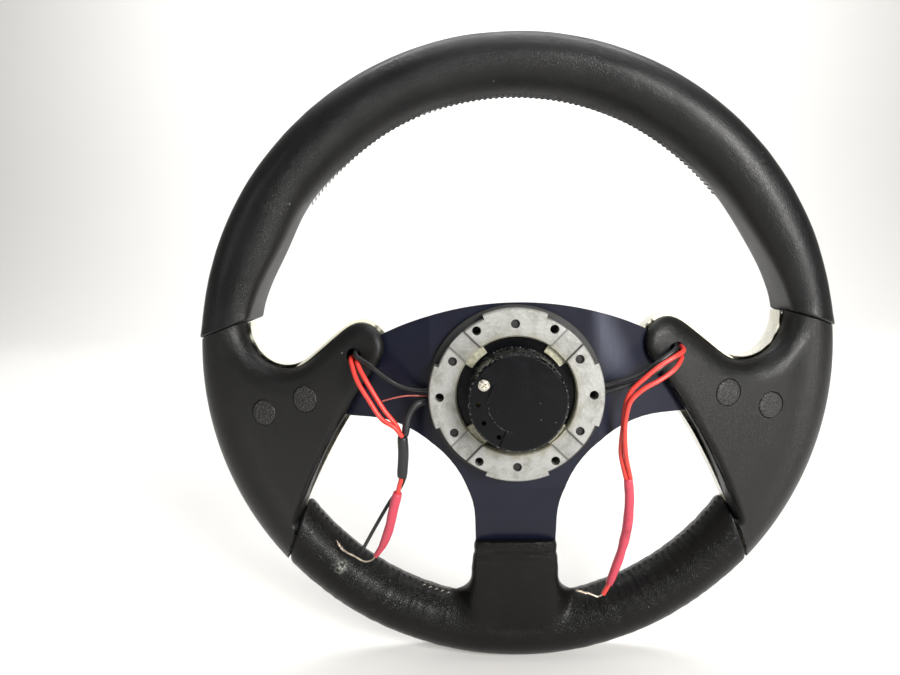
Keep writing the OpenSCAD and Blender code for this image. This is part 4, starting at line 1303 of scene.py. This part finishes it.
@dataclass
class LowerRim:
    """Lower leather: the tube and the boot of the lower spoke in one hide."""

    wheel: Wheel
    along: int = 260
    around: int = 64
    length: float = 240.0
    end_curl: float = 1.6
    curl_in: float = 1.4
    voxel_mm: float = 0.85
    smoothed: int = 14
    relax_rounds: int = 70
    boot_top: float = 83.5
    boot_flare: float = 18.0
    creases: tuple = ((0.14, 0, (3.2, 30, 9)), (0.12, 60, (1.7, 12, 9)), (0.22, 25, (18, 14, 9)))
    rolls: tuple = ((0.9, 87.6, 2.1), (-0.55, 92.4, 1.5), (0.3, 96.5, 2.2))
    pucker_pitch: float = 4.2

    def end_angle(self, r: Array) -> Array:
        """Ring angle of the right seam at a radius, below the gap."""
        w = self.wheel
        seam = crossing(w.lower_corner, polar(w.rim_r, w.lower_seam), r)
        return np.degrees(seam - (w.seam_gap + 0.2) / r)

    def tube(self) -> Surface:
        """Closed arc of tube between the seams.

        Returns:
            The surface.
        """
        w = self.wheel
        f, _, c, s = sections(self.along, self.around)
        mid_r = w.rim_r - w.lower_tube_r
        from_end = np.minimum(f, 1 - f) * self.length
        tube = w.lower_tube_r - turned_in(from_end, self.end_curl, self.curl_in)
        edge = self.end_angle(mid_r + w.lower_tube_r * c)
        angle = np.radians(lerp(edge, -180 - edge, f))
        return Surface.closed(w.on_rim(mid_r + tube * c, angle, tube * s))

    def boot(self) -> Surface:
        """Sleeve round the lower spoke that spreads into the tube.

        Rounded box sections, wider in a quarter circle where they meet the tube.

        Returns:
            The surface.
        """
        w, top, flare = self.wheel, self.boot_top, self.boot_flare
        bottom = w.ring_r - w.rim_rise
        flare_from = w.rim_r - 2 * w.lower_tube_r - w.rim_rise - flare - 4
        z = lerp(top, bottom - 1, np.linspace(0, 1, 70)[:, None] ** 0.85)
        a = turn(80)
        rounding = np.sqrt(np.maximum(flare ** 2 - np.clip(z - flare_from, 0, flare) ** 2, 0))
        wide = w.leg_w + 0.1 + 0.13 * (z - top) + flare - rounding
        thick = lerp(5.5, w.lower_tube_r - 1.5, ((z - top) / (bottom - top)) ** 2.2)

        def squared(v: Array) -> Array:
            """Root of the size with the old sign, which squares a circle's sides."""
            return np.sign(v) * np.sqrt(np.abs(v))

        x = wide * squared(np.cos(a))
        spread = ramp((np.abs(x) - w.leg_w) / 16)
        mid = w.plate_mid + w.leg_slope * (z - w.leg_bend)
        y = lerp(mid, w.rim_depth, spread) + lerp(1, 0.3, spread) * thick * squared(np.sin(a))
        return Surface.closed(np.stack(np.broadcast_arrays(x, y, -z), axis=-1), flip=True)

    def sculpt(self, p: Array) -> Array:
        """Creases across the tube, puckers at the boot and a seam along the inner edge.

        Args:
            p: Points of the smooth hide.

        Returns:
            The moved points.
        """
        w = self.wheel
        folds = Relief(33)
        flat = p[:, [0, 2]] - w.centre
        r = np.hypot(flat[:, 0], flat[:, 1])
        angle = np.degrees(np.arctan2(flat[:, 1], flat[:, 0]))
        mid_r = w.rim_r - w.lower_tube_r
        section = np.stack([r - mid_r, p[:, 1] - w.rim_depth], axis=-1)
        out = unit(section)
        on_tube = ramp((np.linalg.norm(section, axis=1) - 14) / 2)
        on_tube = on_tube * ramp((np.abs(p[:, 0]) - 26) / 14)
        run = angle * np.pi / 180 * mid_r
        side = np.arctan2(section[:, 1], section[:, 0])
        at = np.stack([run, side * 9, r * 0], axis=-1)
        dent = sum(depth * folds.at(at + shift, size) for depth, shift, size in self.creases)
        inner = np.degrees(np.abs(side))
        off = (180 - inner) / 180 * np.pi * w.lower_tube_r
        beat = 0.5 + 0.5 * np.cos(2 * np.pi * run / self.pucker_pitch)
        dent += bell(off, 2.0) * (0.7 * beat - 0.1)
        move = np.stack([out[:, 0] * flat[:, 0] / r, out[:, 1], out[:, 0] * flat[:, 1] / r],
                        axis=-1)
        p = p + (on_tube * dent)[:, None] * move
        low = -p[:, 2]
        roll = sum(height * bell(low - at, width) for height, at, width in self.rolls)
        roll = roll * ramp((104 - low) / 5) * ramp((34 - np.abs(p[:, 0])) / 3)
        middle = w.plate_mid + w.leg_slope * (low - w.leg_bend)
        facing = unit(np.stack([(p[:, 0] / 23) ** 3, ((p[:, 1] - middle) / 6.0) ** 3], axis=-1))
        folds_across = 1 + 0.5 * folds.at(p + 80, (9, 9, 5))
        p[:, 0] += 0.5 * roll * folds_across * facing[:, 0]
        p[:, 1] += roll * folds_across * facing[:, 1]
        return p

    @staticmethod
    def relaxed(p: Array, edges: Array, weight: Array, rounds: int) -> Array:
        """Points pulled towards their neighbours' mean, as far as their weight says.

        Args:
            p: Points.
            edges: Pairs of neighbours.
            weight: Share of the way for each point.
            rounds: Number of rounds.

        Returns:
            The moved points.
        """
        a, b = edges.T
        count = np.bincount(edges.ravel(), minlength=len(p))[:, None]
        for _ in range(rounds):
            near = np.stack([np.bincount(a, p[b, k], len(p)) + np.bincount(b, p[a, k], len(p))
                             for k in range(3)], axis=-1) / count
            p = p + weight[:, None] * (near - p)
        return p

    def thread(self) -> Surface:
        """Pale worn thread ends beside the boot, on the tube's inner edge."""
        w = self.wheel
        steps = np.linspace(-1, 1, 5)
        r = w.rim_r - 2 * w.lower_tube_r - 0.35 + 0.5 * steps ** 2
        thickness = np.array([0.15, 0.24, 0.26, 0.24, 0.15])
        return Surface.union([
            capped_tube(w.on_rim(r, np.radians(a + steps * 0.32), steps * 0.8 - 3.2), thickness, 6)
            for a in np.arange(-111.5, -104.0, 1.5)])

    def fillet(self, p: Array) -> Array:
        """Mask of the hollows between the boot and the tube."""
        x, z = np.abs(p[:, 0]), p[:, 2]
        return ramp((x - 14) / 6) * ramp((54 - x) / 12) * ramp((-104 - z) / 8) * ramp((z + 158) / 8)

    def make(self) -> None:
        """Makes the hide as one remeshed, smoothed and creased surface."""
        obj = Surface.union([self.tube(), self.boot()]).mesh("lower_leather")
        remesh = obj.modifiers.new("remesh", "REMESH")
        remesh.mode = "VOXEL"
        remesh.voxel_size = self.voxel_mm * MM
        remesh.use_smooth_shade = True
        smooth = obj.modifiers.new("smooth", "SMOOTH")
        smooth.factor, smooth.iterations = 0.5, self.smoothed
        applied(obj)
        data = obj.data
        p = np.empty(len(data.vertices) * 3)
        data.vertices.foreach_get("co", p)
        p = p.reshape(-1, 3) / MM
        edges = np.empty(len(data.edges) * 2, dtype=int)
        data.edges.foreach_get("vertices", edges)
        soft = 0.6 * self.fillet(p)
        p = self.sculpt(self.relaxed(p, edges.reshape(-1, 2), soft, self.relax_rounds))
        data.vertices.foreach_set("co", (p * MM).ravel())
        data.update()
        LOG.info("lower leather has %d faces", len(data.polygons))
        place(obj, Finishes.lower_leather, "leather_lower", "leather_boot")
        place(self.thread().mesh("lower_thread"), Finishes.pale_thread)


# ---------------------------------------------------------------- grips


@dataclass
class Grip:
    """Rear and front shell of the right grip, from the CAD model's own rule at a finer step."""

    wheel: Wheel
    finer: int = 6
    set_back: float = 6.2
    soft_crest: float = 14.0
    soften: int = 5
    ledge: float = 1.6
    rear_bow: float = 4.3
    front_bow: float = 2.8
    open_lip: float = 7.0
    button_hole_r: float = 6.08

    def slope(self, side: Side) -> float:
        """Slant of the shell's panel."""
        return self.wheel.rear_slope if side is Side.REAR else self.wheel.front_slope

    def outline(self, side: Side) -> tuple[Array, Array, Array, Array]:
        """Inner edge of a shell: points, share of the rim's arc, spoke under it, open stretch.

        An arc round the notch, a tangent to the lobe, an arc round the lobe, a bowed line to
        the corner and the seam, the first four softened.

        Args:
            side: The shell.

        Returns:
            The four columns.
        """
        w, k = self.wheel, self.finer
        notch, lobe = w.notch, w.lobe
        front = side is Side.FRONT
        corner = w.centre + w.lower_corner
        tip = w.centre + polar(w.rim_r, w.lower_seam)
        if not front:
            corner = corner + self.set_back * unit(tip - corner)
        notch_r = w.notch_r - self.ledge * front
        lobe_r = w.lobe_r + self.ledge * front
        to_lobe = lobe - notch
        close = math.degrees(math.atan2(to_lobe[1], to_lobe[0])
                             + math.acos((notch_r + lobe_r) / np.hypot(*to_lobe)))
        opened = close + 180
        to_corner = corner - lobe
        dist = float(np.hypot(*to_corner))
        bow = self.front_bow if front else self.rear_bow
        shut = (360 + math.degrees(math.atan2(to_corner[1], to_corner[0]))
                - math.degrees(math.acos(lobe_r / dist))
                + math.degrees(math.atan(4 * bow / dist)))
        start = lobe + polar(lobe_r, shut)
        out = unit(np.array([corner[1] - start[1], start[0] - corner[0]]))

        def shares(n: int, whole: bool = False) -> Array:
            """Even shares of one stretch, with its last point where it is whole."""
            return np.linspace(0, 1, n * k + 1 if whole else n * k, endpoint=whole)

        f = shares(10)
        parts = [(notch + polar(notch_r, lerp(w.notch_from, close, f)), lerp(0, 0.42, f),
                  0 * f, 0 * f)]
        f = shares(3)
        a, b = notch + polar(notch_r, close), lobe + polar(lobe_r, opened)
        parts.append((lerp(a, b, f[:, None]), lerp(0.42, 0.54, f), 0 * f, 0 * f))
        f = shares(9)
        parts.append((lobe + polar(lobe_r, lerp(opened, shut, f)), lerp(0.54, 0.64, f),
                      ramp((f - 0.45) * 8), 0 * f))
        f = shares(9)
        swing = (bow * 4 * f * (1 - f))[:, None] * out
        parts.append((lerp(start, corner, f[:, None]) - swing, lerp(0.64, 0.8, f),
                      1 - ramp((f - 0.36) * 8), ramp((f - 0.3) * 2)))
        f = shares(4, True)
        parts.append((lerp(corner, tip, 0.9 * f[:, None]), lerp(0.8, 0.995, f), 0 * f, 0 * f + 1))
        columns = [np.concatenate(column) for column in zip(*parts)]
        open_end = 4 * k + 1
        line = columns[0][:-open_end]
        reach = 3 * self.soften
        padded = np.concatenate([np.repeat(line[:1], reach, axis=0), line,
                                 np.repeat(corner[None], reach, axis=0)])
        weights = np.exp(-0.5 * (np.arange(-reach, reach + 1) / self.soften) ** 2)
        weights /= weights.sum()
        soft = np.stack([np.convolve(padded[:, axis], weights, "valid") for axis in (0, 1)],
                        axis=-1)
        place_in = np.arange(len(line))
        ends = ramp(np.minimum(place_in, place_in[::-1]) / reach)[:, None]
        columns[0][:-open_end] = lerp(line, soft, ends)
        return tuple(columns)

    def panel(self, r: Array, side: Side, wall: float) -> Array:
        """Depth of the grip's face: the rim's tube, running softly into the slanted panel.

        Args:
            r: Distance from the rim's axis.
            side: The shell.
            wall: Distance inside the outer face.

        Returns:
            Depth along Y.
        """
        w = self.wheel
        thin = w.grip_tube_r - wall
        half = np.sqrt(np.maximum(0, thin ** 2 - (r - w.crest_r) ** 2))
        outside = r > w.crest_r
        tube = np.where(outside, half, thin)
        flat = np.where(outside, thin, thin - side * self.slope(side) * (w.crest_r - r))
        blend = ramp((r - w.crest_r + self.soft_crest) / (1.6 * self.soft_crest))
        eased = np.minimum(lerp(flat, tube, blend), np.where(outside, half, np.inf))
        past_crest = r > w.crest_r + 0.6 * self.soft_crest
        return w.rim_depth + side * np.where(past_crest, tube, eased)

    def skin(self, side: Side, wall: float) -> Array:
        """Grid of points on one face of a shell.

        Args:
            side: The shell.
            wall: Distance inside the outer face.

        Returns:
            Array of rows, columns and three coordinates.
        """
        w = self.wheel
        p, fan, spoke, open_edge = self.outline(side)
        far = w.centre + polar(w.rim_r, lerp(w.upper_seam, w.lower_seam, fan))
        d = unit(far - p)
        along = unit(np.gradient(p, axis=0))
        slant = np.maximum(0.3, np.abs(d[:, 0] * along[:, 1] - d[:, 1] * along[:, 0]))
        q0 = p - w.centre
        b = (q0 * d).sum(axis=1)

        def reach(r: float) -> Array:
            """Run from each outline point to the circle of radius r."""
            return -b + np.sqrt(np.maximum(b * b - (q0 * q0).sum(axis=1) + r * r, 0))

        to_end = reach(w.rim_r - wall)
        front = side is Side.FRONT
        ledge = np.where(wall > 0, wall + self.open_lip * open_edge * front, 0.0)
        start = np.minimum(ledge / slant, 0.7 * to_end)
        f = np.concatenate([0.3 * (1 - np.cos(np.linspace(0, np.pi / 2, 20)))[:-1],
                            0.3 + 0.7 * np.sin(np.linspace(0, np.pi / 2, 34))])
        runs = lerp(start[:, None], to_end[:, None], f)
        q = p[:, None] + d[:, None] * runs[..., None]
        line, block = p[: -4 * self.finer], 24

        def from_line(spots: Array) -> Array:
            """Distance of each spot from the outline."""
            near = [np.linalg.norm(spots[:, :, None] - line[k:k + block], axis=-1).min(axis=-1)
                    for k in range(0, len(line), block)]
            return np.min(near, axis=0)

        if wall > 0:
            inward = np.stack([-along[:, 1], along[:, 0]], axis=-1)[:, None]
            q = q + np.maximum(0, wall - from_line(q))[..., None] * inward
        r = np.hypot(q[..., 0], q[..., 1] - w.rim_rise)
        inside = np.maximum(from_line(q) - wall, 0)
        from_notch = np.hypot(q[..., 0] - w.notch[0], q[..., 1] - w.notch[1]) - w.notch_r
        near_notch = 1 - ramp((from_notch - 12) / 26)
        wide = w.edge_round if front else w.notch_round
        width = np.maximum(lerp(w.edge_round, wide, near_notch) - wall, 0.5)
        spoke = spoke[:, None]
        part_y = np.minimum(w.rim_depth, w.plate_back - w.slip + w.arm_slope * (r - w.arm_bend))
        arm_y = w.plate_back + w.arm_slope * np.maximum(0, q[..., 0] - w.arm_bend)
        if front:
            edge = lerp(part_y + w.parting_gap, arm_y + w.arm_thick + w.slip, spoke)
        else:
            edge = lerp(part_y, arm_y - w.slip, spoke)
        full = self.panel(r, side, wall)
        c = np.clip(inside / width, 0, 1)
        y = lerp(edge, full, np.sqrt(1 - (1 - c) ** 2))
        y = np.where(r > w.crest_r + 2, full, y)
        return np.stack([q[..., 0], y, q[..., 1]], axis=-1)

    def shell(self, side: Side) -> Surface:
        """Closed wall of one shell.

        Args:
            side: The shell.

        Returns:
            The surface.
        """
        rear = side is Side.REAR
        outer, inner = self.skin(side, 0.0), self.skin(side, self.wheel.shell_wall)
        rows, cols = outer.shape[:2]
        n = rows * cols
        whole = Surface.union([Surface.grid(outer, flip=rear), Surface.grid(inner, flip=not rear)])
        at = np.arange(n).reshape(rows, cols)
        rim = np.concatenate([at[0], at[1:, -1], at[-1, -2::-1], at[-2:0:-1, 0]]).tolist()
        for u, v in zip(rim, rim[1:] + rim[:1]):
            whole.faces.append([u, u + n, v + n, v] if rear else [u, v, v + n, u + n])
        return whole

    def frame_at(self, spot: Array, side: Side) -> tuple[Array, Array]:
        """A place on the shell's face and its outward direction.

        Args:
            spot: Place in X and Z.
            side: The shell.

        Returns:
            The point and the direction.
        """
        w = self.wheel
        slope = self.slope(side)
        r = math.hypot(spot[0], spot[1] - w.rim_rise)
        y = w.rim_depth + side * w.grip_tube_r - slope * (w.crest_r - r)
        tilt = math.atan(slope)
        out = np.array([-math.sin(tilt), math.cos(tilt), 0.0]) * side
        return np.array([spot[0], y, spot[1]]), out

    def drill(self, spot: Array, side: Side, depth: float, radius: float) -> Surface:
        """A round cutter square to the shell's face."""
        at, out = self.frame_at(spot, side)
        return capped_tube(at + np.linspace(4, -depth, 2)[:, None] * out, radius, 64)

    def cutters(self, side: Side) -> Surface:
        """Round holes of one shell: plugs and wire outlet at the back, thumb button in front.

        Args:
            side: The shell.

        Returns:
            The cutters as one surface.
        """
        w = self.wheel
        if side is Side.FRONT:
            return self.drill(w.button, side, 5, self.button_hole_r)
        outlet = np.array([[w.outlet[0], y, w.outlet[1]] for y in (0.0, 24.0)])
        return Surface.union([self.drill(spot, side, 1.6, w.plug_r + w.plug_joint)
                              for spot in w.plugs] + [capped_tube(outlet, w.outlet_r, 48)])

    def plugs(self) -> Surface:
        """Round plugs of the rear shell, slightly proud with a rolled edge."""
        w = self.wheel
        profile = np.array([[-2.4, 1.0], [-0.6, 1.0], [-0.1, 0.985], [0.18, 0.94], [0.3, 0.86],
                            [0.34, 0.6], [0.36, 0.3], [0.37, 0.02]])
        made = []
        for spot in w.plugs:
            at, out = self.frame_at(spot, Side.REAR)
            made.append(capped_tube(at + profile[:, :1] * out, w.plug_r * profile[:, 1], 48))
        return Surface.union(made)

    def make(self) -> None:
        """Makes both shells and the plugs of both grips."""
        plugs = self.plugs()
        place(Surface.union([plugs, plugs.mirrored()]).mesh("grip_plugs"), Finishes.plug,
              "shell_plugs")
        for side, finish in ((Side.REAR, Finishes.shell), (Side.FRONT, Finishes.cream)):
            word = side.name.lower()
            shell, cutter = self.shell(side), self.cutters(side)
            for name in ("right", "left"):
                if name == "left":
                    shell, cutter = shell.mirrored(), cutter.mirrored()
                obj = shell.mesh(f"{name}_{word}_skin")
                tool = cutter.mesh(f"{name}_{word}_cutter")
                holes = obj.modifiers.new("holes", "BOOLEAN")
                holes.operation, holes.solver, holes.object = "DIFFERENCE", "EXACT", tool
                applied(obj)
                bpy.data.objects.remove(tool)
                soft = obj.modifiers.new("soft", "WEIGHTED_NORMAL")
                soft.keep_sharp = True
                obj.data.set_sharp_from_angle(angle=math.radians(38))
                applied(obj)
                place(obj, finish, f"{name}_{word}_shell")


# ---------------------------------------------------------------- hub


def hub_spacer(w: Wheel) -> None:
    """The black ring between the cast ring and the plate, closed behind the open holes."""
    soft, clear, around = 0.5, 0.02, 160
    r = np.array([w.spacer_bore_r, w.spacer_r - soft, w.spacer_r, w.spacer_r, w.spacer_r - soft,
                  w.spacer_bore_r])
    y = w.hub_t + np.array([clear, clear, soft, w.spacer_t - soft, w.spacer_t - clear,
                            w.spacer_t - clear])
    a = turn(around)[:, None]
    grid = np.stack(np.broadcast_arrays(r * np.cos(a), y, r * np.sin(a)), axis=-1)
    ring = Surface.grid(grid, wrap_rows=True, wrap_cols=True).mesh("spacer_ring")
    place(ring, Finishes.spacer, "hub_spacer")


# ---------------------------------------------------------------- CAD nodes that stay


class Kept:
    """CAD nodes whose shape is right, with their finishes."""

    finishes = {
        "hub_ring": Finishes.cast,
        "spoke_plate": Finishes.plate,
        "hub_screws": Finishes.dark_screw,
        "rim_core": Finishes.steel,
        "padding_lower": Finishes.foam,
        "shell_screws": Finishes.zinc,
        "horn_cup": Finishes.cup,
        "cup_screw": Finishes.nickel,
        "horn_contact": Finishes.brass,
        "horn_spring": Finishes.zinc,
        "horn_push": Finishes.push,
        "horn_bezel": Finishes.trim,
        "left_button": Finishes.red_button,
        "right_button": Finishes.red_button,
        "left_switch": Finishes.switch,
        "right_switch": Finishes.switch,
    }

    def dress(self) -> None:
        """Gives each kept node its material."""
        for name, finish in self.finishes.items():
            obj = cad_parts[name]
            material = finish.build()
            LOG.info("%s: %s", name, finish.slot)
            if not obj.material_slots:
                obj.data.materials.append(material)
            for slot in obj.material_slots:
                slot.link = "OBJECT"
                slot.material = material


# ---------------------------------------------------------------- studio


@dataclass(frozen=True)
class Softbox:
    """A rectangular area light that looks at a point."""

    name: str
    at: tuple[float, float, float]
    look: tuple[float, float, float]
    size: tuple[float, float]
    power: float
    tint: Colour = (1.0, 1.0, 1.0)

    def make(self) -> None:
        """Adds the light."""
        data = bpy.data.lights.new(self.name, "AREA")
        data.shape = "RECTANGLE"
        data.size, data.size_y = self.size
        data.energy = self.power
        data.color = self.tint
        back = unit(np.array(self.at) - np.array(self.look))
        right = unit(np.cross([0.0, 0.0, 1.0], back))
        aimed(self.name, data, self.at, (right, np.cross(back, right), back))


class Studio:
    """Camera at the photograph's viewpoint, soft lights and a pale floor."""

    focal_mm = 25.434
    camera_at = (-0.01766, -0.30080, 0.06389)
    right = (0.99880, 0.04200, -0.02526)
    down = (-0.02026, -0.11557, -0.99309)
    forward = (-0.04462, 0.99241, -0.11458)

    lights = (
        Softbox("window", (0.74, -1.12, 0.44), (0, 0.03, 0), (0.4, 0.7), 38.0, (1.0, 0.99, 0.97)),
        Softbox("overhead", (0.05, -0.25, 1.2), (0, 0.1, 0), (1.1, 0.6), 5.0, (1.0, 1.0, 0.99)),
        Softbox("from_left", (-1.25, -0.8, 0.5), (0, 0.05, 0), (0.3, 0.7), 2.2, (1.0, 0.98, 0.96)),
        Softbox("wall_wash", (0.0, 0.9, 1.9), (0, 2.2, 0.4), (2.4, 0.6), 62.0),
    )

    def camera(self) -> None:
        """Sets up the camera."""
        data = bpy.data.cameras.new("photo_view")
        data.sensor_fit = "HORIZONTAL"
        data.sensor_width = 36.0
        data.lens = self.focal_mm
        data.clip_start, data.clip_end = 0.01, 20.0
        axes = (self.right, [-v for v in self.down], [-v for v in self.forward])
        bpy.context.scene.camera = aimed("photo_view", data, self.camera_at, axes)

    def floor(self) -> None:
        """A pale floor that the rim stands on, swept up far behind it."""
        ground = WHEEL.rim_rise - WHEEL.rim_r
        near, reach, bend, top, half_wide = -9000.0, 2600.0, 900.0, 3200.0, 14000.0
        a = np.linspace(0, np.pi / 2, 24)
        y = np.concatenate([[near], reach - bend + bend * np.sin(a), [reach]])
        up = np.concatenate([[0.0], bend * (1 - np.cos(a)), [top]])
        left, right = (np.stack([np.full_like(y, x), y, ground + up], axis=-1)
                       for x in (-half_wide, half_wide))
        obj = Surface.grid(np.stack([left, right])).mesh("floor")
        obj.data.materials.append(Finishes.floor.build())

    def light(self) -> None:
        """Lights and a pale surrounding."""
        for box in self.lights:
            box.make()
        world = bpy.data.worlds.new("room")
        bpy.context.scene.world = world
        world.use_nodes = True
        shade = world.node_tree.nodes["Background"]
        shade.inputs["Color"].default_value = (0.94, 0.95, 0.93, 1.0)
        shade.inputs["Strength"].default_value = 0.17
        bpy.context.scene.view_settings.view_transform = "Standard"


def main() -> None:
    """Builds the scene."""
    logging.basicConfig(level=logging.INFO, format="%(name)s: %(message)s")
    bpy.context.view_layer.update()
    studio = Studio()
    studio.camera()
    Wiring().make()
    UpperRim(WHEEL).make()
    LowerRim(WHEEL).make()
    Grip(WHEEL).make()
    hub_spacer(WHEEL)
    Kept().dress()
    studio.floor()
    studio.light()


if __name__ == "__main__":
    main()
